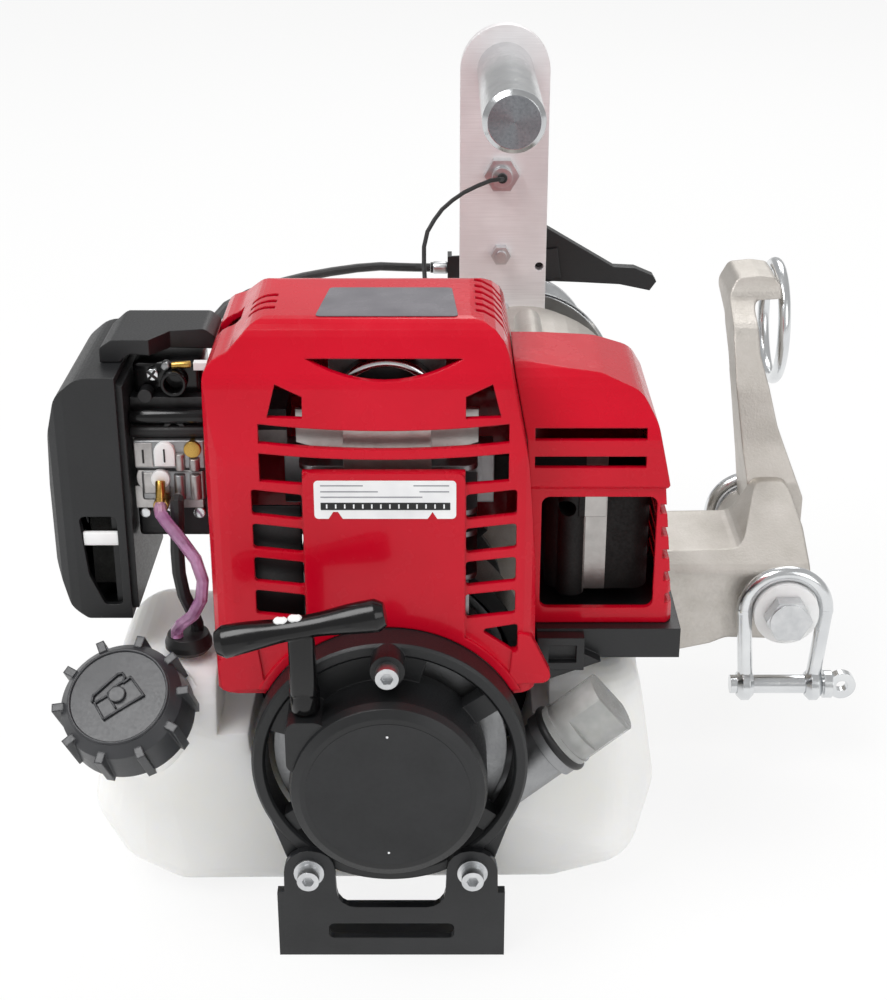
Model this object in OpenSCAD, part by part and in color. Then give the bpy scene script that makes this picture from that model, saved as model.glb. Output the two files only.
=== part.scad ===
// Capstan winch driven by a small four-stroke engine.
// X runs to the right seen from the starter side, Y away from the starter, Z up.
// The origin is the middle of the foot bracket's underside, below the crankshaft.

/* [Engine] */
// Height of the crankshaft above the ground
crank_z = 80; // [76:1:84]
// Radius of the crankcase
case_r = 42; // [38:0.5:43]
// Length of the crankcase along the crankshaft
case_l = 52; // [46:1:53]
// Diameter of the crankshaft journals
crank_d = 12; // [10:0.5:14]
// Width of the cylinder block across its fins
cyl_w = 62; // [50:1:66]
// Thickness of each cooling fin
fin_t = 2; // [1.2:0.1:2.6]
// Number of cooling fins
fin_n = 6; // [3:1:7]

/* [Starter] */
// Outer radius of the ring round the recoil cover
ring_r = 49; // [47:0.5:52]
// Radius of the domed recoil housing
bulge_r = 34.5; // [33:0.5:36]
// How far the domed housing stands in front of the ring
bulge_h = 18.5; // [16:0.5:22]
// Wall of the recoil cover
cover_t = 2.5; // [2:0.1:3]
// Diameter of the starter rope
rope_d = 4; // [3:0.5:4.5]
// Length of the T-grip
grip_l = 58; // [50:1:64]
// Diameter of the T-grip in the middle
grip_d = 11.5; // [10:0.5:12]

/* [Foot] */
// Width of the foot
foot_w = 83; // [78:1:90]
// Depth of the foot along the ground
foot_d = 29; // [27:1:31]
// Thickness of the foot's walls
foot_t = 3; // [2.5:0.1:3.5]
// Height of the two foot bolts
foot_bolt_z = 37; // [35:0.5:39]
// Distance from the middle to each foot bolt
foot_bolt_x = 29.6; // [28:0.2:31]

/* [Shroud] */
// Width of the top shroud
shroud_w = 110; // [106:1:114]
// Height of the shroud's flat top
shroud_top = 236.5; // [232:0.5:240]
// Depth of the shroud from front to back
shroud_d = 94; // [92:1:96]
// Wall of the plastic covers
skin_t = 2.4; // [2:0.1:2.8]
// Height of each side slot
side_slot_h = 9.4; // [7:0.1:10]
// Distance from one side slot to the next
side_slot_pitch = 12.6; // [11:0.1:13]
// Number of side slots in each column
side_slot_n = 4; // [2:1:4]

/* [Fuel tank] */
// Width of the fuel tank
tank_w = 210; // [200:1:214]
// Depth of the fuel tank
tank_d = 78; // [70:1:84]
// Clearance below the tank
tank_z = 3; // [2:0.5:6]
// Outer diameter of the fuel cap's skirt
cap_d = 47; // [46:0.5:52]
// Height of the fuel cap
cap_h = 19; // [17:0.5:22]
// Number of grip ribs on the fuel cap
cap_ribs = 10; // [8:1:14]
// Diameter of the oil filler cap
oil_cap_d = 24; // [22:0.5:26]

/* [Gearbox] */
// Module of the first stage
mod_1 = 1; // [0.9:0.05:1.05]
// Module of the second stage
mod_2 = 1.25; // [1.15:0.05:1.3]
// Module of the third stage
mod_3 = 1.5; // [1.4:0.05:1.55]
// Teeth of every pinion
pinion_z = 12; // [11:1:13]
// Teeth of the first gear
gear_z1 = 60; // [56:1:60]
// Teeth of the second gear
gear_z2 = 57; // [54:1:58]
// Teeth of the output gear
gear_z3 = 54; // [50:1:55]
// Backlash taken off the thickness of each tooth
backlash = 0.3; // [0.2:0.05:0.4]
// Wall of the cast gear housing
house_t = 4; // [3.5:0.1:5]
// Diameter of the output shaft
out_shaft_d = 20; // [16:0.5:22]
// Diameter of the intermediate shafts
mid_shaft_d = 10; // [8:0.5:10]

/* [Capstan] */
// Height of the drum's axis
drum_z = 125; // [122:0.5:128]
// Distance of the drum's axis from the crankshaft
drum_x = 56; // [53:0.5:58]
// Radius of the drum where the rope winds
drum_core_r = 28.5; // [26:0.5:32]
// Radius of the large inner flange
flange_r = 45.5; // [43:0.5:46]
// Radius of the outer flange
outer_flange_r = 37; // [34:0.5:40]
// Length of the winding surface
drum_l = 46; // [40:1:52]

/* [Anchor] */
// Distance of the anchor bolt from the crankshaft
bolt_x = 163.7; // [160:0.5:166]
// Height of the anchor bolt
bolt_z = 74; // [72:0.5:76]
// Diameter of the anchor bolt
bolt_d = 10; // [8:0.5:12]
// Diameter of the nylon thimbles
thimble_d = 27.4; // [25:0.2:28]
// Diameter of the shackle's rod
shackle_rod = 6.4; // [5.5:0.1:6.8]
// Diameter of the shackle's pin
shackle_pin_d = 8; // [7:0.1:8.4]
// Height from the bolt's axis down to the shackle's pin
shackle_h = 36; // [34:0.5:42]
// Outer diameter of the rope guide ring
guide_d = 60; // [54:1:62]
// Rod diameter of the rope guide ring
guide_rod = 5.8; // [5:0.5:8]

/* [Handle] */
// Width of the handle plate
plate_w = 40; // [36:1:44]
// Thickness of the handle plate
plate_t = 6; // [5:0.5:7]
// Height of the plate's round top
plate_top = 296.5; // [290:0.5:300]
// Diameter of the handle bar
bar_d = 25; // [22:0.5:28]
// Length of the handle bar
bar_l = 109; // [100:1:112]
// Thickness of the throttle lever
lever_t = 6; // [5:0.5:7]

/* [Hidden] */
$fn = 48;

red = [0.78, 0.06, 0.09];
black = [0.1, 0.1, 0.1];
cast_grey = [0.66, 0.66, 0.64];
steel = [0.75, 0.75, 0.77];
polished = [0.86, 0.86, 0.88];
nylon = [0.93, 0.93, 0.9];
natural = [0.92, 0.91, 0.84];

// Small clearances: running is between things that turn in each other, gap between parts of two bodies.
running = 0.05;
gap = 0.3;
carb_y1 = 70;

// Places along the crankshaft.
ring_y = -foot_d / 2 + foot_t;
bulge_y = ring_y - bulge_h;
case_y0 = 1;
case_y1 = case_y0 + case_l;
wheel_y0 = case_y1 + 3;
wheel_y1 = wheel_y0 + 18;
clutch_y0 = wheel_y1 + 2;
clutch_y1 = clutch_y0 + 16;
bell_y1 = 94;
box_y0 = 127;
box_y1 = 178;
box_y2 = 246;
plate_y0 = box_y2;
plate_y1 = plate_y0 + plate_t;
flange_y0 = plate_y1 + lever_t + 3;
core_y0 = flange_y0 + 6;
core_y1 = core_y0 + drum_l;
drum_y1 = core_y1 + 6;
nut_y1 = drum_y1 + 9;

// Starter: the reel on the end of the crankshaft, and the rope that leaves it straight upwards.
reel_r = 26;
rope_y = -19;
stub_y = -9;
stub_d = 6;
reel_bore = stub_d / 2 + running;
horn_z = crank_z + 27;
stem_z0 = horn_z + gap;
grip_z = crank_z + 63;
grip_lean = 11;

// Gear train: shaft centres follow from the modules and tooth counts.
dist_1 = mod_1 * (pinion_z + gear_z1) / 2;
dist_2 = mod_2 * (pinion_z + gear_z2) / 2;
dist_3 = mod_3 * (pinion_z + gear_z3) / 2;
first_angle = -60;
shaft_in = [0, crank_z];
shaft_a = shaft_in + dist_1 * [cos(first_angle), sin(first_angle)];
shaft_out = [drum_x, drum_z];
reach = norm(shaft_out - shaft_a);
along = (dist_2 * dist_2 - dist_3 * dist_3 + reach * reach) / (2 * reach);
aside = sqrt(dist_2 * dist_2 - along * along);
to_out = (shaft_out - shaft_a) / reach;
shaft_b = shaft_a + along * to_out + aside * [to_out[1], -to_out[0]];
gear_y1 = box_y0 + 8;
gear_w1 = 8;
gear_y2 = gear_y1 + 15;
gear_w2 = 12;
gear_y3 = box_y1 + 6;
gear_w3 = 18;
gear_clear = 3;

// Handle and switch places.
plate_x = 46.5;
plate_bottom = drum_z + 22;
bar_z = plate_top - plate_w / 2;
switch_z = 230.6;
locknut_z = 193.4;
throttle_x = 68.4;
throttle_z = 187;

// Oil filler: its foot on the crankcase and its lean from the vertical.
oil_lean = 50;
oil_y = 6;
oil_l = 38;

// Fuel neck: middle of the cap's top and the lean of its axis.
cap_top = [9.5 - tank_w / 2, -5, 105.3];
cap_turn = [35, -8.8, 0];

// Routes of the hoses and cables, in millimetres.
fuel_route = [[-81, 27, 164], [-81, 24.5, 164], [-80.5, 22.5, 162.7], [-78, 20.5, 160], [-73, 18.5, 154], [-68.5, 18, 147],
    [-66.5, 18, 139], [-67.5, 18.5, 131], [-71, 19.5, 124], [-76, 22, 119], [-78, 24, 115.5], [-78, 24, 113]];
return_route = [[-75, 27, 166], [-75, 25, 166], [-75, 24.7, 163.5], [-75.5, 25.5, 156], [-76, 25, 147], [-76, 25.5, 138],
    [-75, 26.5, 129], [-72.5, 28, 121], [-71.5, 30, 115.5], [-71.5, 30, 113]];
wire_route = [[45.5, 236.9, 230.6], [45.5, 235, 230.6], [44, 232.5, 231.2], [40, 230, 231.2], [34, 227, 229.5], [28, 225, 227],
    [23, 223, 224], [18.5, 221, 220.5], [15, 218, 216.5], [12, 215, 212], [10.5, 212, 206], [10.5, 208, 199],
    [11, 202, 192], [12, 192, 186], [12, 180, 182], [12, 166, 180], [10, 150, 179], [8, 134, 179],
    [6, 120, 178], [5, 108, 176], [5, 100, 174.5], [5, 94.3, 174]];
cable_route = [[12.9, 258, 183], [9, 258, 183], [5, 256.5, 183.5], [-1, 252, 185], [-10, 243, 188], [-20, 230, 191],
    [-31, 214, 194], [-42, 196, 197], [-52, 176, 200], [-61, 156, 202], [-68, 136, 203], [-72, 116, 202],
    [-74, 98, 198], [-75, 84, 192], [-75, 76, 189], [-75, carb_y1 + gap, 189]];

// A closed outline of [x, y, radius] corners, with each corner rounded to its own radius.
function unit(v) = v / norm(v);
function corner(a, b, c, r, n) = let (u = unit(a - b), w = unit(c - b), half = acos(u * w) / 2,
    o = b + unit(u + w) * r / sin(half), p = b + u * r / tan(half) - o, q = b + w * r / tan(half) - o,
    a0 = atan2(p[1], p[0]), da = (atan2(q[1], q[0]) - a0 + 540) % 360 - 180)
    r == 0 ? [b] : [for (i = [0 : n]) o + r * [cos(a0 + da * i / n), sin(a0 + da * i / n)]];
function flat(p) = [p[0], p[1]];
function rounded(p, n = 4) = let (k = len(p))
    [for (i = [0 : k - 1]) each corner(flat(p[(i + k - 1) % k]), flat(p[i]), flat(p[(i + 1) % k]), p[i][2], n)];

// A rounded rectangle in the plane
module round_rect(w, h, r) {
    for (s = [-1, 1]) {
        translate([s * (w / 2 - r), h / 2 - r]) circle(r);
        translate([s * (w / 2 - r), -h / 2 + r]) circle(r);
    }
    square([w - 2 * r, h], center = true);
    square([w, h - 2 * r], center = true);
}

// Extrudes an XZ outline from y0 to y1.
module along_y(y0, y1) {
    translate([0, y1, 0]) rotate([90, 0, 0]) linear_extrude(y1 - y0) children();
}

// A cylinder along Y.
module bar_y(x, z, d, y0, y1, d2 = 0) {
    translate([x, y1, z]) rotate([90, 0, 0]) cylinder(d1 = (d2 > 0 ? d2 : d), d2 = d, h = y1 - y0);
}

// Extrudes a YZ outline from x0 to x1.
module along_x(x0, x1) {
    translate([x0, 0, 0]) rotate([90, 0, 90]) linear_extrude(x1 - x0) children();
}

// Revolves an outline of radius against y about the axis through (x, z) along Y.
module spin_y(x, z) {
    translate([x, 0, z]) rotate([-90, 0, 0]) rotate_extrude() children();
}

// Vectors for sweeping a tube along a route.
function unit(v) = v / norm(v);
function tangent(p, i) = unit(p[min(i + 1, len(p) - 1)] - p[max(i - 1, 0)]);
function side_of(t) = unit(cross(t, abs(t[2]) < 0.9 ? [0, 0, 1] : [1, 0, 0]));
function carried(p, i) = i == 0 ? side_of(tangent(p, 0))
    : let (t = tangent(p, i), s = carried(p, i - 1)) unit(s - (s * t) * t);
function ring_points(c, t, s, r, n) =
    let (b = cross(t, s)) [for (k = [0 : n - 1]) c + r * (cos(360 * k / n) * s + sin(360 * k / n) * b)];
function sweep_points(p, r, n) =
    [for (i = [0 : len(p) - 1]) each ring_points(p[i], tangent(p, i), carried(p, i), r, n)];
function sweep_faces(m, n) = concat(
    [[for (k = [0 : n - 1]) k]],
    [for (i = [0 : m - 2], k = [0 : n - 1]) let (a = i * n + k, b = i * n + (k + 1) % n) [a, b + n, b]],
    [for (i = [0 : m - 2], k = [0 : n - 1]) let (a = i * n + k, b = i * n + (k + 1) % n) [a, a + n, b + n]],
    [[for (k = [n - 1 : -1 : 0]) (m - 1) * n + k]]);

// A tube of diameter d swept along a route with n sides.
module hose(route, d, n) {
    polyhedron(points = sweep_points(route, d / 2, n), faces = sweep_faces(len(route), n));
}

// Involute teeth: inv is the involute function, tooth_half a tooth's half angle at radius r.
function inv(a) = tan(a) * 180 / PI - a;
function tooth_half(r, m, z) =
    let (rp = m * z / 2, rb = rp * cos(20), a = r > rb ? acos(rb / r) : 0)
    90 / z - (backlash / 2 / rp) * 180 / PI + inv(20) - inv(a);
function gear_outline(m, z, turn) =
    let (rp = m * z / 2, rb = rp * cos(20), ra = rp + 0.9 * m, rf = rp - 1.2 * m, rs = max(rb, rf + 0.1 * m))
    [for (i = [0 : z - 1], q = [[rf, 1, rs], [rs, 1, rs], [rp, 1, rp], [ra, 1, ra],
            [ra, -1, ra], [rp, -1, rp], [rs, -1, rs], [rf, -1, rs]])
        let (a = 360 * i / z + turn - q[1] * tooth_half(q[2], m, z)) [q[0] * cos(a), q[0] * sin(a)]];

// A gear with its axis along Y, between y0 and y1.
module gear(place, m, z, turn, y0, y1) {
    translate([place[0], y1, place[1]]) rotate([90, 0, 0]) linear_extrude(y1 - y0)
        polygon(gear_outline(m, z, turn));
}

// Tooth phases: a gear has a tooth gap where the other has a tooth, on the line between their axes.
function bearing_of(p, q) = atan2(q[1] - p[1], q[0] - p[0]);
function mesh_turn(p, q, z) = bearing_of(p, q) + 180 / z;

module foot_bracket() {
    edge = foot_w / 2;
    color(black) difference() {
        union() {
            along_y(-foot_d / 2, -foot_d / 2 + foot_t) difference() {
                polygon(rounded([[-edge, 0, 2], [edge, 0, 2], [edge - 2.5, 22, 20],
                    [foot_bolt_x + 9, foot_bolt_z + 9, 9], [foot_bolt_x - 9, foot_bolt_z + 9, 8],
                    [foot_bolt_x - 10, foot_bolt_z - 15.5, 7], [10 - foot_bolt_x, foot_bolt_z - 15.5, 7],
                    [9 - foot_bolt_x, foot_bolt_z + 9, 8], [-foot_bolt_x - 9, foot_bolt_z + 9, 9],
                    [2.5 - edge, 22, 20]]));
                translate([0, 11]) round_rect(46, 6.5, 2);
            }
            for (s = [-1, 1])
                bar_y(s * foot_bolt_x, foot_bolt_z, 16, -foot_d / 2, -foot_d / 2 + foot_t);
            translate([-edge, -foot_d / 2, 0]) cube([foot_w, foot_d, foot_t]);
            for (s = [-1, 1]) translate([s * (edge - foot_t / 2) - foot_t / 2, 0, 0])
                along_x(0, foot_t) polygon([[-foot_d / 2, 0], [foot_d / 2, 0], [-foot_d / 2 + 4, 28],
                    [-foot_d / 2, 28]]);
        }
        for (s = [-1, 1]) bar_y(s * foot_bolt_x, foot_bolt_z, 5.4, -foot_d, foot_d);
    }
}

module socket_bolt(x, z, head_y, d, l) {
    difference() {
        union() {
            bar_y(x, z, d * 1.6, head_y - d, head_y);
            bar_y(x, z, d, head_y, head_y + l);
        }
        along_y(head_y - d - 1, head_y - d / 2) translate([x, z]) circle(d = d * 0.9, $fn = 6);
    }
}

module foot_bolts() {
    color(steel) for (s = [-1, 1]) {
        socket_bolt(s * foot_bolt_x, foot_bolt_z, -foot_d / 2 - 1, 5, foot_d / 2 + 5);
        difference() {
            bar_y(s * foot_bolt_x, foot_bolt_z, 11, -foot_d / 2 - 1, -foot_d / 2);
            bar_y(s * foot_bolt_x, foot_bolt_z, 5, -foot_d, 0);
        }
    }
}

// The recoil cover: dished housing, spokes, ring and two lugs down to the foot bolts.
horn_x = -reel_r - rope_d / 2;
module recoil_cover() {
    color(black) difference() {
        union() {
            spin_y(0, crank_z) polygon([[0, bulge_y], [bulge_r - 4, bulge_y], [bulge_r - 1, bulge_y + 1.5],
                [bulge_r, bulge_y + 5], [bulge_r, ring_y + 8], [bulge_r - cover_t, ring_y + 8],
                [bulge_r - cover_t, bulge_y + cover_t + 2], [bulge_r - cover_t - 2, bulge_y + cover_t],
                [0, bulge_y + cover_t]]);
            spin_y(0, crank_z) polygon([[ring_r - 5, ring_y + 1], [ring_r - 4, ring_y], [ring_r - 1, ring_y],
                [ring_r, ring_y + 1], [ring_r, case_y0], [ring_r - 5, case_y0]]);
            for (a = [35, 90, 145, 215, 325])
                translate([0, 0, crank_z]) rotate([0, -a, 0])
                    translate([bulge_r - cover_t / 2, ring_y + 2, -4]) cube([ring_r - bulge_r, 7, 8]);
            along_y(ring_y + 2, ring_y + 5) translate([0, crank_z]) polygon(concat(
                [for (a = [72 : 6 : 162]) (bulge_r - 1) * [cos(a), sin(a)]],
                [for (a = [162 : -6 : 72]) (ring_r - 2) * [cos(a), sin(a)]]));
            bar_y(0, crank_z + 43, 12, bulge_y + 10, case_y0);
            for (s = [-1, 1]) {
                bar_y(s * foot_bolt_x, foot_bolt_z, 14, ring_y, ring_y + 14);
                along_y(ring_y + 1, ring_y + 12)
                    polygon([[s * (foot_bolt_x + 7), foot_bolt_z], [s * (foot_bolt_x - 4), foot_bolt_z],
                        [s * (ring_r - 14), crank_z - 32], [s * (ring_r - 5), crank_z - 8],
                        [s * (ring_r - 0.4), crank_z - 6]]);
            }
            along_y(bulge_y + 3, ring_y + 6) translate([horn_x, horn_z - 10]) round_rect(14, 20, 4);
        }
        bar_y(0, crank_z, 2 * (bulge_r - cover_t), bulge_y + cover_t + 0.5, ring_y + 8.5);
        bar_y(0, crank_z + 43, 5.4, -60, 20);
        for (s = [-1, 1]) bar_y(s * foot_bolt_x, foot_bolt_z, 5.4, -40, 20);
        translate([horn_x, rope_y, crank_z]) cylinder(d = rope_d + 1, h = 60);
    }
}

module boss_bolt() {
    color(steel) socket_bolt(0, crank_z + 43, bulge_y + 10, 5, 20);
}

// The reel is clipped on a stub of the crankshaft and holds the wound rope.
module recoil_reel() {
    color(black) spin_y(0, crank_z)
        polygon([[reel_bore, rope_y - 7], [reel_r + 4, rope_y - 7], [reel_r + 4, rope_y - 4.5], [reel_r, rope_y - 4],
            [reel_r, rope_y + 4], [reel_r + 4, rope_y + 4.5], [reel_r + 4, rope_y + 7], [10, rope_y + 7],
            [10, stub_y - 0.5], [reel_bore, stub_y - 0.5]]);
}

module starter_grip() {
    color(black) difference() {
        union() {
            translate([horn_x, rope_y - 7, grip_z]) rotate([0, -grip_lean, 0]) {
                rotate([0, 90, 0]) translate([0, 0, -grip_l / 2]) rotate_extrude()
                    polygon([[0, 0], [grip_d / 2 - 2, 0], [grip_d / 2, 2], [grip_d / 2 - 0.6, grip_l / 3],
                        [grip_d / 2 - 0.6, grip_l * 2 / 3], [grip_d / 2, grip_l - 2],
                        [grip_d / 2 - 2, grip_l], [0, grip_l]]);
            }
            translate([horn_x, rope_y, stem_z0]) cylinder(d1 = 11, d2 = 8, h = 14);
            along_x(horn_x - 4, horn_x + 4) polygon([[rope_y - 4, stem_z0 + 10], [rope_y + 4, stem_z0 + 10],
                [rope_y - 3, grip_z + 1], [rope_y - 11, grip_z + 1]]);
        }
        translate([horn_x, rope_y, stem_z0 - 1]) cylinder(d = rope_d + 0.1, h = 13);
    }
}

module starter_rope() {
    color(natural) translate([horn_x, rope_y, crank_z + 2]) cylinder(d = rope_d, h = stem_z0 - crank_z + 6);
}

module crankcase() {
    color(cast_grey) difference() {
        union() {
            bar_y(0, crank_z, 2 * case_r, case_y0, case_y1);
            along_y(case_y0 + 4, case_y1 - 4) translate([0, crank_z + 30]) square([56, 60], center = true);
            for (s = [-1, 1]) bar_y(s * foot_bolt_x, foot_bolt_z, 13, ring_y + 14, case_y0 + 12);
            for (s = [-1, 1]) along_y(ring_y + 14, case_y0 + 12)
                polygon([[s * (foot_bolt_x + 6), foot_bolt_z], [s * (foot_bolt_x - 6), foot_bolt_z],
                    [s * (case_r - 22), crank_z - case_r + 8], [s * (case_r - 6), crank_z - case_r + 20]]);
            bar_y(0, crank_z + 43, 12, case_y0, case_y0 + 5);
        }
        bar_y(0, crank_z, crank_d + 2 * running, -20, case_y1 + 10);
        oil_axis() translate([0, 0, -20]) cylinder(d = oil_neck_d + 2 * gap, h = 60);
        bar_y(0, crank_z, 2 * (case_r - 8), case_y0 + 8, case_y1 - 8);
        bar_y(0, crank_z + 43, 5, -40, case_y0 + 2);
        for (s = [-1, 1]) bar_y(s * foot_bolt_x, foot_bolt_z, 5, -30, case_y0 + 9);
        along_y(case_y0 + 12, case_y1 - 12) translate([0, crank_z + 50]) square([40, 60], center = true);
    }
}

cyl_z0 = crank_z + 60;
cyl_z1 = shroud_top - 52.5;
belt_y0 = 10;
fin_y0 = belt_y0 + 5.5;
fin_y1 = 51;
pulley_r = 19.5;
rim_r = 96;
pulley_z = cyl_z1 + pulley_r + gap;
plug_place = [6, 60, cyl_z1 + 10];
plug_lean = -60;
module cylinder_fins() {
    pitch = (cyl_z1 - cyl_z0 - fin_t) / (fin_n - 1);
    for (i = [0 : fin_n - 1]) translate([0, (fin_y0 + fin_y1) / 2, cyl_z0 + i * pitch])
        linear_extrude(fin_t) round_rect(cyl_w, fin_y1 - fin_y0, 5);
}
module cylinder_block() {
    mid = (fin_y0 + fin_y1) / 2;
    color(cast_grey) difference() {
        union() {
            cylinder_fins();
            translate([0, mid, cyl_z0]) cylinder(d = fin_y1 - fin_y0 - 3, h = cyl_z1 - cyl_z0);
            translate([-20, fin_y0 + 6, cyl_z1 - 1]) cube([40, fin_y1 - fin_y0 - 8, 38]);
            for (s = [-1, 1]) translate([s * (cyl_w / 2 - 4) - 10, 30, cyl_z1 - 20]) cube([20, 18, 18]);
        }
        translate(plug_place) rotate([plug_lean, 0, 0]) translate([0, 0, -20]) cylinder(d = 9.7, h = 30);
    }
}

// The belt pulley's round cover, seen through the curved window in the shroud, on its bright shield.
module timing_cover() {
    color(black) union() {
        along_y(fin_y0 - 3, fin_y0 - 0.9) intersection() {
            translate([0, cyl_z1 + 5 + rim_r]) circle(rim_r);
            translate([-31, cyl_z1 + 4]) square([62, 18]);
        }
        bar_y(0, pulley_z, 2 * pulley_r, fin_y0 - 1, fin_y0 + 5.7);
        translate([-15, belt_y0, cyl_z0]) cube([30, 5.3, 60]);
    }
}

module spark_plug() {
    color(steel) translate(plug_place) rotate([plug_lean, 0, 0]) union() {
        translate([0, 0, -17]) cylinder(d = 9.6, h = 12);
        translate([0, 0, -5]) cylinder(d = 17, h = 7, $fn = 6);
        translate([0, 0, 2]) cylinder(d = 8, h = 9);
    }
}
module plug_boot() {
    color(black) translate(plug_place) rotate([plug_lean, 0, 0]) difference() {
        translate([0, 0, 2.3]) cylinder(d = 15, h = 15);
        translate([0, 0, 2]) cylinder(d = 8.4, h = 10);
    }
}

module crankshaft() {
    mid_y = (case_y0 + case_y1) / 2;
    color(steel) {
        bar_y(0, crank_z, stub_d, rope_y - 6, stub_y);
        bar_y(0, crank_z, crank_d, stub_y, mid_y - 8);
        bar_y(0, crank_z, crank_d, mid_y + 8, wheel_y1);
        for (s = [-1, 1]) bar_y(0, crank_z, 40, mid_y + s * 7 - 3, mid_y + s * 7 + 3);
        bar_y(0, crank_z + 12, 9, mid_y - 8, mid_y + 8);
    }
}

wheel_r = 44;
module flywheel() {
    color(cast_grey) difference() {
        union() {
            bar_y(0, crank_z, 2 * wheel_r, wheel_y0 + 1, wheel_y0 + 7);
            for (i = [0 : 13]) translate([0, 0, crank_z]) rotate([0, i * 360 / 14, 0])
                translate([24, wheel_y0 + 6, -1]) cube([19, 10, 2]);
            bar_y(0, crank_z, 34, wheel_y0 + 1, wheel_y1 - 1);
        }
        bar_y(0, crank_z, crank_d, 0, 200);
    }
}

// Two shoes swing out against the drum as the engine speeds up.
shoe_r = 24;
module clutch_shoes() {
    color(steel) difference() {
        union() {
            bar_y(0, crank_z, 2 * shoe_r, clutch_y0 + 1, clutch_y0 + 12);
            bar_y(0, crank_z, 16, wheel_y1 - 1, clutch_y0 + 12);
        }
        bar_y(0, crank_z, crank_d, 0, wheel_y1);
        for (s = [-1, 1]) {
            translate([s * 15 - 15, clutch_y0, crank_z + s * 10 - 1]) cube([30, 14, 2]);
            translate([s * 15 - 1, clutch_y0, crank_z + s * 18 - 9]) cube([2, 14, 18]);
        }
    }
}

drum_in_r = shoe_r + 1;
module clutch_drum() {
    color(steel) {
        difference() {
            union() {
                bar_y(0, crank_z, 2 * (drum_in_r + 2.5), clutch_y0, clutch_y1 + 1);
                bar_y(0, crank_z, mid_shaft_d, clutch_y1, gear_y1 + gear_w1 + 6);
            }
            bar_y(0, crank_z, 2 * drum_in_r, clutch_y0 - 1, clutch_y1 - 2);
        }
        gear(shaft_in, mod_1, pinion_z, bearing_of(shaft_in, shaft_a), gear_y1 - 1, gear_y1 + gear_w1 + 1);
    }
}

bell_r = 52;
module fan_housing() {
    color(black) difference() {
        union() {
            spin_y(0, crank_z) polygon([[wheel_r + 2, case_y1 + 0.4], [bell_r, case_y1 + 0.4],
                [bell_r, wheel_y1 + 4], [34, bell_y1 + 2], [34, box_y0 - 6], [44, box_y0 - 4], [44, box_y0],
                [9, box_y0], [9, box_y0 - 12], [28.5 + 1.5, box_y0 - 14], [28.5 + 1.5, clutch_y0],
                [wheel_r + 2, wheel_y1]]);
            for (a = [45, 135, 225, 315]) translate([0, 0, crank_z]) rotate([0, a, 0])
                translate([38, box_y0 - 6, -5]) cube([10, 6, 10]);
        }
        bar_y(0, crank_z, mid_shaft_d + 2 * gap, 0, 200);
        for (p = screw_places) bar_y(p[0], p[1], 10, box_y0 - 5.5, box_y0 + 1);
    }
}

// Outline of the shroud's side, as depth against height.
arch_r = ring_r + gap;
shroud_c = -3;
function side_profile(t) = rounded([[2 + t, 90, 0], [2 + t, 190, 40], [6 + t, 219 - t / 2, 20],
    [15 + t / 2, shroud_top - t, 9], [66 - t / 2, shroud_top - t, 14], [86 - t, shroud_top - 15 - t / 2, 12],
    [shroud_d - t, 198 - t, 8], [shroud_d - t, 90, 0]]);
function front_outline(t) = let (w = shroud_w / 2 - t, c = shroud_c)
    rounded([[-w + c - 4, 90, 0], [w + c, 90, 0], [w + c - 1, 150, 0], [w + c - 4, 190, 40],
        [w + c - 8, 210 - t / 2, 30], [w + c - 13, shroud_top - t, 13], [-w + c + 14, shroud_top - t, 10],
        [-w + c + 5, 227 - t / 2, 6], [-w + c - 3, 224 - t / 2, 9], [-w + c - 4, 190, 0]]);
function plan_outline(t) = let (w = shroud_w / 2 - t, c = shroud_c)
    rounded([[-w + c - 4, 2 + t, 8 - t], [w + c, 2 + t, 8 - t], [w + c, shroud_d - t, 8 - t],
        [-w + c - 4, shroud_d - t, 8 - t]]);

module shroud_solid(t) {
    intersection() {
        along_x(-80, 80) polygon(side_profile(t));
        along_y(-10, 120) polygon(front_outline(t));
        linear_extrude(260) polygon(plan_outline(t));
    }
}

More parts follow.
